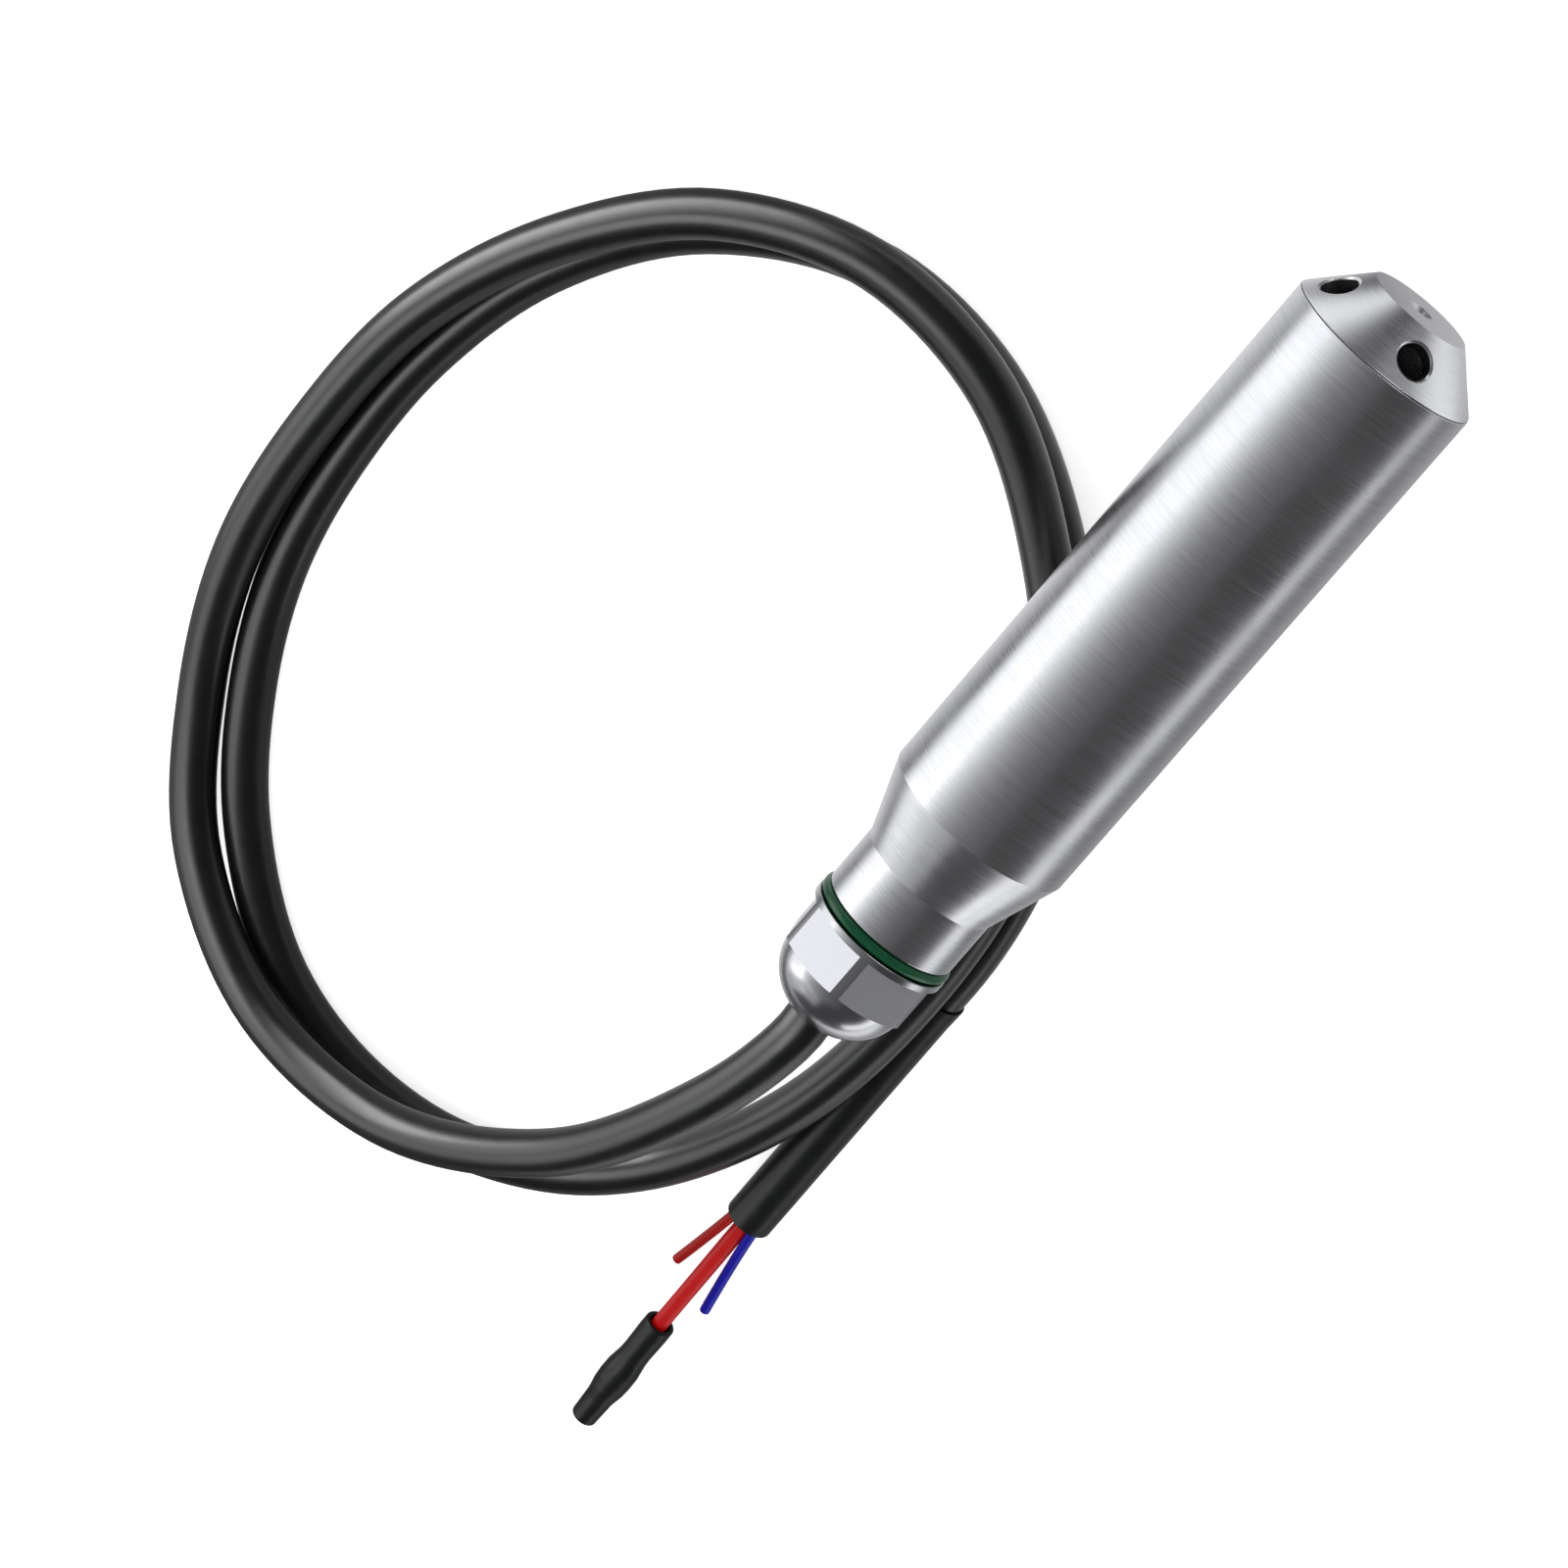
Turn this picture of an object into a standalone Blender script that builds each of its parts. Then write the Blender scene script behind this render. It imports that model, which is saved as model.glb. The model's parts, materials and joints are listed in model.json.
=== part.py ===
"""Submersible level transmitter: a turned stainless probe lying on two turns of its own cable.

Metres, +Z up. The origin is on the floor, under the middle of the probe. The probe's
nose points to +X and rests on the floor, and its rear is propped up by the cable.
"""
import math

import bmesh
import bpy
from mathutils import Matrix, Vector

MM = 0.001
FIT = 0.3 * MM                    # clearance between pieces that touch

# Probe: heights run along its axis from the neck's end face, up towards the nose.
LEAN = math.radians(12.4)         # nose-down angle of the probe's axis
TUBE_RADIUS = 14.0 * MM
TUBE_WALL = 2.0 * MM
NECK_RADIUS = 10.3 * MM
NECK_BORE_RADIUS = 8.0 * MM
NECK_LENGTH = 8.7 * MM
TAPER_LENGTH = 10.7 * MM
BARREL_LENGTH = 83.2 * MM
BORE_TAPER_LENGTH = 7.0 * MM
BORE_TAPER_INSET = 2.4 * MM       # how far the bore's taper starts behind the outer shoulder
EDGE = 0.3 * MM                   # small turned edge break

# Nose cap
NOSE_LENGTH = 7.1 * MM
NOSE_FACE_RADIUS = 7.4 * MM
NOSE_WALL = 2.0 * MM
SPIGOT_LENGTH = 12.0 * MM
SPIGOT_WALL = 1.8 * MM
SIDE_HOLE_RADIUS = 2.5 * MM
SIDE_HOLE_COUNT = 4
SIDE_HOLE_TURN = math.radians(18.6)
FACE_HOLE_RADIUS = 1.0 * MM
COUNTERSINK_RADIUS = 1.9 * MM

# Gland: measured from the neck's end face towards the cable.
SEAL_SPACE = 2.1 * MM
COLLAR_LENGTH = 0.7 * MM
HEX_LENGTH = 6.6 * MM
HEX_BREAK = 0.5 * MM
DOME_LENGTH = 7.2 * MM
GLAND_RADIUS = 10.75 * MM
HEX_ACROSS_FLATS = 19.3 * MM
HEX_TURN = math.radians(31.5)
DOME_MOUTH_RADIUS = 4.5 * MM
GLAND_SPIGOT_LENGTH = 9.5 * MM
GLAND_SPIGOT_WALL = 2.0 * MM
GROMMET_SEAT_DEPTH = 1.5 * MM
GROMMET_LENGTH = 8.4 * MM
WASHER_THICKNESS = 0.8 * MM
CRIMP_LENGTH = 5.2 * MM
O_RING_SECTION = 0.8 * MM         # radius of the green ring's section
O_RING_REACH = 10.45 * MM         # outer radius of the green ring

# Cable and what is on its far end
CABLE_RADIUS = 3.5 * MM
CABLE_TAIL = 17.5 * MM            # how far the jacket reaches past the neck's end face
LEAD_RADIUS = 0.8 * MM
VENT_RADIUS = 1.3 * MM
SLEEVE_RADIUS = 3.7 * MM
SLEEVE_BORE_RADIUS = 2.9 * MM
SLEEVE_LENGTH = 50.8 * MM
BREATHER_LENGTH = 22.5 * MM
BREATHER_TOP_RADIUS = 2.4 * MM
BREATHER_BULGE_RADIUS = 2.75 * MM
BREATHER_END_RADIUS = 2.05 * MM
BREATHER_OVERLAP = 3.0 * MM

# Sensor end
RING_THICKNESS = 2.0 * MM
RING_WIDTH = 3.7 * MM
CARRIER_LENGTH = 23.4 * MM
CARRIER_SEAT = 12.0 * MM          # depth of the cell's seat below the carrier's front
CARRIER_WEB = 4.0 * MM
CARRIER_LEDGE = 2.65 * MM         # how far the web reaches in past the cell's bore
CARRIER_WALL = 2.05 * MM
CELL_RIM_WIDTH = 0.75 * MM
CELL_RECESS = 1.1 * MM
CELL_BOSS_LENGTH = 2.7 * MM
CELL_GROOVE_HEIGHT = 4.0 * MM     # from the cell's rear face to the middle of its groove
SEAL_GROOVE_WIDTH = 2.2 * MM
CELL_GROOVE_DEPTH = 1.75 * MM
CARRIER_GROOVE_DEPTH = 1.7 * MM
DIAPHRAGM_THICKNESS = 0.3 * MM
DIAPHRAGM_RIPPLE = 0.12 * MM
PIN_RADIUS = 0.45 * MM
PIN_LENGTH = 4.2 * MM
PIN_CIRCLE = 4.0 * MM
PIN_COUNT = 4
CELL_PIPE_RADIUS = 0.9 * MM
CELL_PIPE_REACH = 1.3 * MM        # how far the pipe reaches out of the carrier's rear end
PIN_BOARD_MARGIN = 1.05 * MM      # between the round board and the carrier
BOARD_THICKNESS = 1.6 * MM

# Electronics
HOLDER_THICKNESS = 3.0 * MM
HOLDER_WIDTH = 3.1 * MM
BOARD_MARGIN = 2.1 * MM           # from the board's long edges to the tube's fit
BOARD_DROP = 3.0 * MM             # the board's underside below the probe's axis
WIRE_RADIUS = 0.35 * MM
LEAD_SPACING = 1.9 * MM           # from the terminal block's middle to each lead
LEAD_DEPTH = 3.0 * MM
LINK_REACH = 5.5 * MM             # how far the link wires reach onto the board
PART_GAP = 1.0 * MM               # between neighbours across the board
TERMINAL_SIZE = Vector((6.0, 7.6, 6.2)) * MM      # sizes up from the board, across and along it
TRANSISTOR_SIZE = Vector((2.3, 6.4, 5.0)) * MM
CHIP_SIZE = Vector((1.6, 5.4, 5.0)) * MM
TRIMMER_SIZE = Vector((4.6, 4.2, 4.6)) * MM
SURGE_RADIUS = 2.3 * MM
SURGE_LENGTH = 5.6 * MM
CAN_RADIUS = 2.2 * MM
CAN_HEIGHT = 5.4 * MM

# Heights along the probe that follow from the sizes above
SHOULDER = NECK_LENGTH + TAPER_LENGTH
MOUTH = SHOULDER + BARREL_LENGTH
NOSE_FACE = MOUTH + NOSE_LENGTH
BORE_RADIUS = TUBE_RADIUS - TUBE_WALL
INSIDE_RADIUS = BORE_RADIUS - FIT                     # whatever fits in the tube's bore
CELL_BORE_RADIUS = INSIDE_RADIUS - CARRIER_WALL
CARRIER_WEB_BORE = CELL_BORE_RADIUS - CARRIER_LEDGE
CAP_END = MOUTH + FIT - SPIGOT_LENGTH
RING_TOP = CAP_END - FIT
CARRIER_TOP = RING_TOP - RING_THICKNESS - FIT
CARRIER_END = CARRIER_TOP - CARRIER_LENGTH
WEB_TOP = CARRIER_TOP - CARRIER_SEAT
CELL_REAR = WEB_TOP + FIT
CELL_BOSS_END = CELL_REAR - CELL_BOSS_LENGTH
PIN_TOP = CELL_BOSS_END - FIT
PIN_BOARD_TOP = PIN_TOP - PIN_LENGTH - FIT
PIN_BOARD_END = PIN_BOARD_TOP - BOARD_THICKNESS
FRONT_HOLDER_TOP = CARRIER_END - FIT
BORE_STEP = SHOULDER - BORE_TAPER_INSET
REAR_HOLDER_END = BORE_STEP + BORE_TAPER_LENGTH + FIT
COLLAR_FACE = -SEAL_SPACE
HEX_TOP = COLLAR_FACE - COLLAR_LENGTH
HEX_END = HEX_TOP - HEX_LENGTH
DOME_TOP = HEX_END - HEX_BREAK
DOME_END = DOME_TOP - DOME_LENGTH
DOME_RADIUS = HEX_ACROSS_FLATS / 2 - 0.05 * MM
CABLE_HOLE_RADIUS = CABLE_RADIUS + FIT
GLAND_SPIGOT_RADIUS = NECK_BORE_RADIUS - FIT
GLAND_BORE_RADIUS = GLAND_SPIGOT_RADIUS - GLAND_SPIGOT_WALL
PACKING_RADIUS = GLAND_BORE_RADIUS - FIT
NOSE_SLOPE = (TUBE_RADIUS - NOSE_FACE_RADIUS) / NOSE_LENGTH

# The nose's front edge stands on the floor, and the origin lies under the middle of the probe.
REACH_FORWARD = NOSE_LENGTH * math.cos(LEAN) + NOSE_FACE_RADIUS * math.sin(LEAN)
REACH_BACK = (MOUTH - DOME_END) * math.cos(LEAN) + DOME_MOUTH_RADIUS * math.sin(LEAN)
MOUTH_X = (REACH_BACK - REACH_FORWARD) / 2
MOUTH_Z = TUBE_RADIUS * math.cos(LEAN) - EDGE * math.sin(LEAN)
FORWARD = Vector((math.cos(LEAN), 0, -math.sin(LEAN)))
UPWARD = Vector((math.sin(LEAN), 0, math.cos(LEAN)))
NECK_END_POINT = Vector((MOUTH_X, 0, MOUTH_Z)) - MOUTH * FORWARD

# Points that the cable passes through after it leaves the gland, in millimetres: out and
# down to the left, round one turn, under the probe, round a second turn on the floor, and
# under the probe again to the sleeve. The first turn lies on the second near the probe.
CABLE_ROUTE = [
    (-83.5, 3.0, 39.8), (-113.5, 14.5, 31.8), (-138.0, 37.0, 19.2), (-142.3, 61.5, 11.6),
    (-130.8, 83.2, 7.0), (-110.0, 97.0, 4.8), (-85.5, 104.7, 6.8), (-60.5, 106.2, 8.5),
    (-36.0, 103.5, 9.2), (-13.5, 94.5, 9.7), (5.5, 79.5, 10.1), (15.3, 59.0, 10.5),
    (13.0, 36.5, 10.8), (0.0, 17.0, 10.8), (-22.0, -1.5, 10.8), (-47.5, -9.0, 10.9),
    (-74.5, -10.5, 11.1), (-98.0, -7.5, 9.2), (-123.0, 1.5, 4.4), (-136.5, 13.0, 3.5),
    (-144.5, 29.0, 3.5), (-145.2, 46.5, 3.5), (-139.0, 63.0, 3.5), (-123.0, 79.8, 3.5),
    (-104.0, 91.0, 3.5), (-84.5, 97.8, 3.5), (-64.0, 100.3, 3.5), (-42.5, 99.4, 3.5),
    (-20.5, 93.3, 3.5), (-0.5, 80.0, 3.5), (12.0, 59.0, 3.5), (11.0, 37.0, 3.5),
    (-1.0, 16.5, 3.5), (-23.0, -3.0, 3.5), (-48.0, -11.3, 3.5), (-68.2, -13.4, 3.7),
]
CABLE_POINT_COUNT = 78
EXIT_STRAIGHT = 5.5 * MM
SLEEVE_AIM = Vector((-1.0, -0.016, 0.0)).normalized()
RED_LEAD_REACH = 16.0 * MM        # how far each reaches out of the sleeve
BLUE_LEAD_REACH = 20.0 * MM
VENT_REACH = 25.5 * MM

for old in list(bpy.data.objects):
    bpy.data.objects.remove(old, do_unlink=True)

parts = bpy.data.collections.new("submersible_level_transmitter")
cutters = bpy.data.collections.new("cutters")
bpy.context.scene.collection.children.link(parts)
bpy.context.scene.collection.children.link(cutters)


def material(name, colour, metallic, roughness):
    """One Principled material with a linear base colour."""
    made = bpy.data.materials.new(name)
    made.use_nodes = True
    shader = made.node_tree.nodes["Principled BSDF"]
    shader.inputs["Base Color"].default_value = (*colour, 1.0)
    shader.inputs["Metallic"].default_value = metallic
    shader.inputs["Roughness"].default_value = roughness
    return made


STEEL = material("brushed_stainless", (0.58, 0.58, 0.6), 1.0, 0.3)
BRASS = material("brass", (0.72, 0.5, 0.2), 1.0, 0.32)
GOLD_PIN = material("gold_plating", (0.85, 0.62, 0.25), 1.0, 0.25)
GREEN_RUBBER = material("green_rubber", (0.005, 0.1, 0.045), 0.0, 0.35)
BLACK_RUBBER = material("black_rubber", (0.012, 0.012, 0.013), 0.0, 0.6)
JACKET = material("cable_jacket", (0.012, 0.013, 0.014), 0.0, 0.32)
SHRINK = material("shrink_sleeve", (0.015, 0.018, 0.018), 0.0, 0.4)
RED = material("red_plastic", (0.42, 0.008, 0.008), 0.0, 0.35)
BLUE = material("blue_plastic", (0.01, 0.01, 0.35), 0.0, 0.35)
BOARD_GREEN = material("board_green", (0.01, 0.12, 0.05), 0.0, 0.4)
CHIP_BLACK = material("chip_black", (0.015, 0.015, 0.016), 0.0, 0.5)
HOLDER_WHITE = material("holder_white", (0.7, 0.7, 0.68), 0.0, 0.5)
CAN_GREY = material("can_grey", (0.5, 0.5, 0.52), 1.0, 0.35)
TRIMMER_BLUE = material("trimmer_blue", (0.02, 0.1, 0.4), 0.0, 0.45)
TERMINAL_GREEN = material("terminal_green", (0.02, 0.25, 0.08), 0.0, 0.45)

# The probe's own frame: +Z runs to the nose and +X is its upper side.
probe = bpy.data.objects.new("probe_axis", None)
parts.objects.link(probe)
probe.matrix_world = Matrix((
    (UPWARD.x, 0, FORWARD.x, NECK_END_POINT.x),
    (0, -1, 0, NECK_END_POINT.y),
    (UPWARD.z, 0, FORWARD.z, NECK_END_POINT.z),
    (0, 0, 0, 1)))


def add(name, data, look, parent=probe):
    """Put a named object in the parts collection."""
    made = bpy.data.objects.new(name, data)
    data.materials.append(look)
    parts.objects.link(made)
    made.parent = parent
    return made


def turned(name, profile, look, steps=48, parent=probe):
    """A piece turned on a lathe: its profile (radius, height) swept about Z."""
    data = bpy.data.meshes.new(name)
    shape = bmesh.new()
    ring = [shape.verts.new((radius, 0, height)) for radius, height in profile]
    closed = profile[0][0] > 0 and profile[-1][0] > 0
    for one, other in zip(ring, ring[1:]):
        shape.edges.new((one, other))
    if closed:
        shape.edges.new((ring[-1], ring[0]))
    shape.to_mesh(data)
    shape.free()
    made = add(name, data, look, parent)
    screw = made.modifiers.new("turn", "SCREW")
    screw.axis = "Z"
    screw.steps = steps
    screw.render_steps = steps
    screw.use_merge_vertices = True
    screw.merge_threshold = 0.00002
    screw.use_smooth_shade = True
    return made


def ring_section(major, minor, height, sides=12):
    """A round section for a turned ring, running down its outer side."""
    return [(major + minor * math.cos(-math.tau * step / sides),
             height + minor * math.sin(-math.tau * step / sides)) for step in range(sides)]


def sleeve_profile(outer, inner, low, high, edge=0.0):
    """A plain tube's section, with its outer edges broken."""
    if edge == 0.0:
        return [(outer, high), (outer, low), (inner, low), (inner, high)]
    return [(outer - edge, high), (outer, high - edge), (outer, low + edge), (outer - edge, low),
            (inner, low), (inner, high)]


def block(name, size, centre, look, edge=0.0, parent=probe):
    """A rectangular block with bevelled edges."""
    data = bpy.data.meshes.new(name)
    shape = bmesh.new()
    bmesh.ops.create_cube(shape, size=1.0)
    bmesh.ops.scale(shape, vec=size, verts=shape.verts)
    shape.to_mesh(data)
    shape.free()
    made = add(name, data, look, parent)
    made.location = centre
    if edge > 0:
        bevel = made.modifiers.new("edges", "BEVEL")
        bevel.width = edge
        bevel.segments = 1
    return made


def rod(name, radius, low, high, look, sides=20, edge=0.0, parent=probe):
    """A cylinder between two points."""
    low = Vector(low)
    high = Vector(high)
    data = bpy.data.meshes.new(name)
    shape = bmesh.new()
    bmesh.ops.create_cone(shape, cap_ends=True, segments=sides, radius1=radius, radius2=radius,
                          depth=(high - low).length)
    shape.to_mesh(data)
    shape.free()
    made = add(name, data, look, parent)
    made.location = (low + high) / 2
    made.rotation_euler = (high - low).to_track_quat("Z", "Y").to_euler()
    if edge > 0:
        bevel = made.modifiers.new("edges", "BEVEL")
        bevel.width = edge
        bevel.segments = 1
        bevel.limit_method = "ANGLE"
        bevel.angle_limit = math.radians(60)
    return made


def as_cutter(made):
    """Move an object from the parts to the cutters."""
    parts.objects.unlink(made)
    cutters.objects.link(made)
    made.hide_render = True
    made.display_type = "WIRE"
    return made


def cut(piece, cutter):
    """Take a cutter's volume out of a piece."""
    modifier = piece.modifiers.new("cut", "BOOLEAN")
    modifier.operation = "DIFFERENCE"
    modifier.object = cutter
    modifier.solver = "EXACT"
    return modifier


def smooth_curve(points, per_span=16):
    """A smooth curve through points, with tangents that allow for uneven spacing."""
    times = [0.0]
    for one, other in zip(points, points[1:]):
        times.append(times[-1] + math.sqrt((other - one).length))
    count = len(points)
    slopes = []
    for place in range(1, count - 1):
        before = times[place] - times[place - 1]
        after = times[place + 1] - times[place]
        rate_in = (points[place] - points[place - 1]) / before
        rate_out = (points[place + 1] - points[place]) / after
        slopes.append((rate_in * after + rate_out * before) / (before + after))
    first = (points[1] - points[0]) / (times[1] - times[0]) * 2 - slopes[0]
    last = (points[-1] - points[-2]) / (times[-1] - times[-2]) * 2 - slopes[-1]
    slopes = [first] + slopes + [last]
    curve = []
    for place in range(count - 1):
        span = times[place + 1] - times[place]
        for step in range(per_span):
            u = step / per_span
            curve.append(points[place] * (2 * u**3 - 3 * u**2 + 1)
                         + slopes[place] * span * (u**3 - 2 * u**2 + u)
                         + points[place + 1] * (3 * u**2 - 2 * u**3)
                         + slopes[place + 1] * span * (u**3 - u**2))
    curve.append(points[-1].copy())
    return curve


def evenly(curve, count):
    """The same curve read at evenly spaced points."""
    lengths = [0.0]
    for one, other in zip(curve, curve[1:]):
        lengths.append(lengths[-1] + (other - one).length)
    even = []
    place = 0
    for step in range(count):
        wanted = lengths[-1] * step / (count - 1)
        while place < len(curve) - 2 and lengths[place + 1] < wanted:
            place += 1
        share = (wanted - lengths[place]) / (lengths[place + 1] - lengths[place])
        even.append(curve[place].lerp(curve[place + 1], min(share, 1.0)))
    return even


def round_wire(name, points, radius, look, sides_setting=2, parent=None):
    """A wire, tube or cable: a round section along a line of points, with filled ends."""
    data = bpy.data.curves.new(name, "CURVE")
    data.dimensions = "3D"
    data.bevel_depth = radius
    data.bevel_resolution = sides_setting
    data.use_fill_caps = True
    spline = data.splines.new("POLY")
    spline.points.add(len(points) - 1)
    for slot, point in zip(spline.points, points):
        slot.co = (*point, 1.0)
    return add(name, data, look, parent)


# Housing tube: bar turned to a barrel, a taper and a neck, bored right through in two steps.
turned("probe_tube", [
    (TUBE_RADIUS - EDGE, MOUTH),
    (TUBE_RADIUS, MOUTH - EDGE),
    (TUBE_RADIUS, SHOULDER),
    (NECK_RADIUS, NECK_LENGTH),
    (NECK_RADIUS, EDGE),
    (NECK_RADIUS - EDGE, 0),
    (NECK_BORE_RADIUS, 0),
    (NECK_BORE_RADIUS, BORE_STEP),
    (BORE_RADIUS, BORE_STEP + BORE_TAPER_LENGTH),
    (BORE_RADIUS, MOUTH)], STEEL, steps=64)

# Nose cap: a hollow cone on a threaded spigot, with one hole in its face and four in its side.
cavity_radius = INSIDE_RADIUS - SPIGOT_WALL
cone_inset = NOSE_WALL * math.sqrt(1 + NOSE_SLOPE**2)
cavity_roof = NOSE_FACE - NOSE_WALL
roof_radius = TUBE_RADIUS - NOSE_SLOPE * (cavity_roof - MOUTH) - cone_inset
cavity_wall_top = MOUTH + (TUBE_RADIUS - cone_inset - cavity_radius) / NOSE_SLOPE
countersink_depth = COUNTERSINK_RADIUS - FACE_HOLE_RADIUS
nose_cap = turned("nose_cap", [
    (COUNTERSINK_RADIUS, NOSE_FACE),
    (NOSE_FACE_RADIUS, NOSE_FACE),
    (TUBE_RADIUS - EDGE - NOSE_SLOPE * FIT, MOUTH + FIT),
    (INSIDE_RADIUS, MOUTH + FIT),
    (INSIDE_RADIUS, CAP_END + EDGE),
    (INSIDE_RADIUS - EDGE, CAP_END),
    (cavity_radius, CAP_END),
    (cavity_radius, cavity_wall_top),
    (roof_radius, cavity_roof),
    (FACE_HOLE_RADIUS, cavity_roof),
    (FACE_HOLE_RADIUS, NOSE_FACE - countersink_depth)], STEEL, steps=64)
hole_height = MOUTH + NOSE_LENGTH / 2
hole_radius_out = TUBE_RADIUS - NOSE_SLOPE * NOSE_LENGTH / 2
for number in range(SIDE_HOLE_COUNT):
    turn = SIDE_HOLE_TURN + math.tau * number / SIDE_HOLE_COUNT
    outward = Vector((math.cos(turn), math.sin(turn), NOSE_SLOPE)).normalized()
    middle = Vector((hole_radius_out * math.cos(turn), hole_radius_out * math.sin(turn), hole_height))
    drill = rod(f"side_hole_{number + 1}", SIDE_HOLE_RADIUS, middle - outward * NOSE_WALL * 2.4,
                middle + outward * NOSE_WALL, STEEL, sides=24)
    cut(nose_cap, as_cutter(drill))

# Gland nut: collar, milled hexagon and domed end, on a hollow threaded spigot.
dome_rise = DOME_LENGTH / math.sqrt(1 - (DOME_MOUTH_RADIUS / DOME_RADIUS)**2)
dome_steps = 8
dome_turn = math.acos(DOME_MOUTH_RADIUS / DOME_RADIUS)
dome = [(DOME_RADIUS * math.cos(dome_turn * step / dome_steps),
         DOME_TOP - dome_rise * math.sin(dome_turn * step / dome_steps))
        for step in range(dome_steps + 1)]
seat_end = DOME_TOP + GROMMET_SEAT_DEPTH
gland_nut = turned("gland_nut", [
    (GLAND_SPIGOT_RADIUS - EDGE, GLAND_SPIGOT_LENGTH),
    (GLAND_SPIGOT_RADIUS, GLAND_SPIGOT_LENGTH - EDGE),
    (GLAND_SPIGOT_RADIUS, COLLAR_FACE),
    (GLAND_RADIUS - EDGE, COLLAR_FACE),
    (GLAND_RADIUS, COLLAR_FACE - EDGE),
    (GLAND_RADIUS, HEX_END)] + dome + [
    (CABLE_HOLE_RADIUS, DOME_END),
    (CABLE_HOLE_RADIUS, DOME_TOP),
    (GLAND_BORE_RADIUS, seat_end),
    (GLAND_BORE_RADIUS, GLAND_SPIGOT_LENGTH)], STEEL, steps=60)
for number in range(6):
    turn = HEX_TURN + math.tau * number / 6
    depth = GLAND_RADIUS - HEX_ACROSS_FLATS / 2 + 1.0 * MM
    mill = block(f"hex_flat_{number + 1}", (depth, GLAND_RADIUS * 1.6, HEX_LENGTH + HEX_BREAK + 1.0 * MM),
                 (0, 0, 0), STEEL)
    away = HEX_ACROSS_FLATS / 2 + depth / 2
    mill.location = (away * math.cos(turn), away * math.sin(turn),
                     HEX_TOP - (HEX_LENGTH + HEX_BREAK + 1.0 * MM) / 2)
    mill.rotation_euler = (0, 0, turn)
    cut(gland_nut, as_cutter(mill))

# Green ring squeezed between the neck's end face and the gland's collar.
turned("gland_o_ring", ring_section(O_RING_REACH - O_RING_SECTION, O_RING_SECTION, -SEAL_SPACE / 2),
       GREEN_RUBBER, steps=48)

# Cable packing inside the gland: rubber grommet, washer, hollow press screw, crimped ring.
grommet_low = DOME_TOP + FIT * 2
grommet_high = grommet_low + GROMMET_LENGTH
turned("gland_grommet", [
    (PACKING_RADIUS, grommet_high),
    (PACKING_RADIUS, seat_end + FIT),
    (CABLE_HOLE_RADIUS + FIT, grommet_low),
    (CABLE_HOLE_RADIUS, grommet_low),
    (CABLE_HOLE_RADIUS, grommet_high)], BLACK_RUBBER, steps=32)
washer_low = grommet_high + FIT
washer_high = washer_low + WASHER_THICKNESS
turned("thrust_washer", sleeve_profile(PACKING_RADIUS, CABLE_HOLE_RADIUS, washer_low, washer_high),
       STEEL, steps=32)
press_low = washer_high + FIT
turned("press_screw", sleeve_profile(PACKING_RADIUS, CABLE_HOLE_RADIUS, press_low, GLAND_SPIGOT_LENGTH,
                                     EDGE), BRASS, steps=32)
crimp_low = GLAND_SPIGOT_LENGTH + FIT
turned("crimp_ring", sleeve_profile(PACKING_RADIUS, CABLE_HOLE_RADIUS, crimp_low, crimp_low + CRIMP_LENGTH,
                                    EDGE), CAN_GREY, steps=32)

# The cable's last stretch, inside the gland and the neck.
rod("cable_end", CABLE_RADIUS, (0, 0, DOME_END), (0, 0, CABLE_TAIL), JACKET, sides=24)

# The free cable: straight out of the gland, then down and round twice.
exit_point = NECK_END_POINT + (DOME_END - FIT) * FORWARD
after_exit = exit_point - EXIT_STRAIGHT * FORWARD
route = [exit_point, after_exit] + [Vector(point) * MM for point in CABLE_ROUTE]
cable_line = evenly(smooth_curve(route), CABLE_POINT_COUNT)
cable_line.insert(1, exit_point - EXIT_STRAIGHT / 2 * FORWARD)
round_wire("cable", cable_line, CABLE_RADIUS, JACKET, sides_setting=3)

# Heat-shrink sleeve over the leads where the jacket stops. Its frame runs from the jacket on.
sleeve_start = cable_line[-1]
sleeve_base = bpy.data.objects.new("sleeve_axis", None)
parts.objects.link(sleeve_base)
sideways = Vector((0, 0, 1)).cross(SLEEVE_AIM).normalized()
sleeve_base.matrix_world = Matrix((
    (sideways.x, 0, SLEEVE_AIM.x, sleeve_start.x + SLEEVE_AIM.x * 2 * FIT),
    (sideways.y, 0, SLEEVE_AIM.y, sleeve_start.y + SLEEVE_AIM.y * 2 * FIT),
    (sideways.z, 1, SLEEVE_AIM.z, SLEEVE_RADIUS + 0.05 * MM),
    (0, 0, 0, 1)))
turned("end_sleeve", sleeve_profile(SLEEVE_RADIUS, SLEEVE_BORE_RADIUS, 0, SLEEVE_LENGTH, EDGE), SHRINK,
       steps=32, parent=sleeve_base)


def beyond_sleeve(side, up, along):
    """A point given from the sleeve's axis: to its side, up, and along it from the jacket."""
    return (sleeve_base.matrix_world.translation + sideways * side + Vector((0, 0, 1)) * up
            + SLEEVE_AIM * along)


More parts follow.
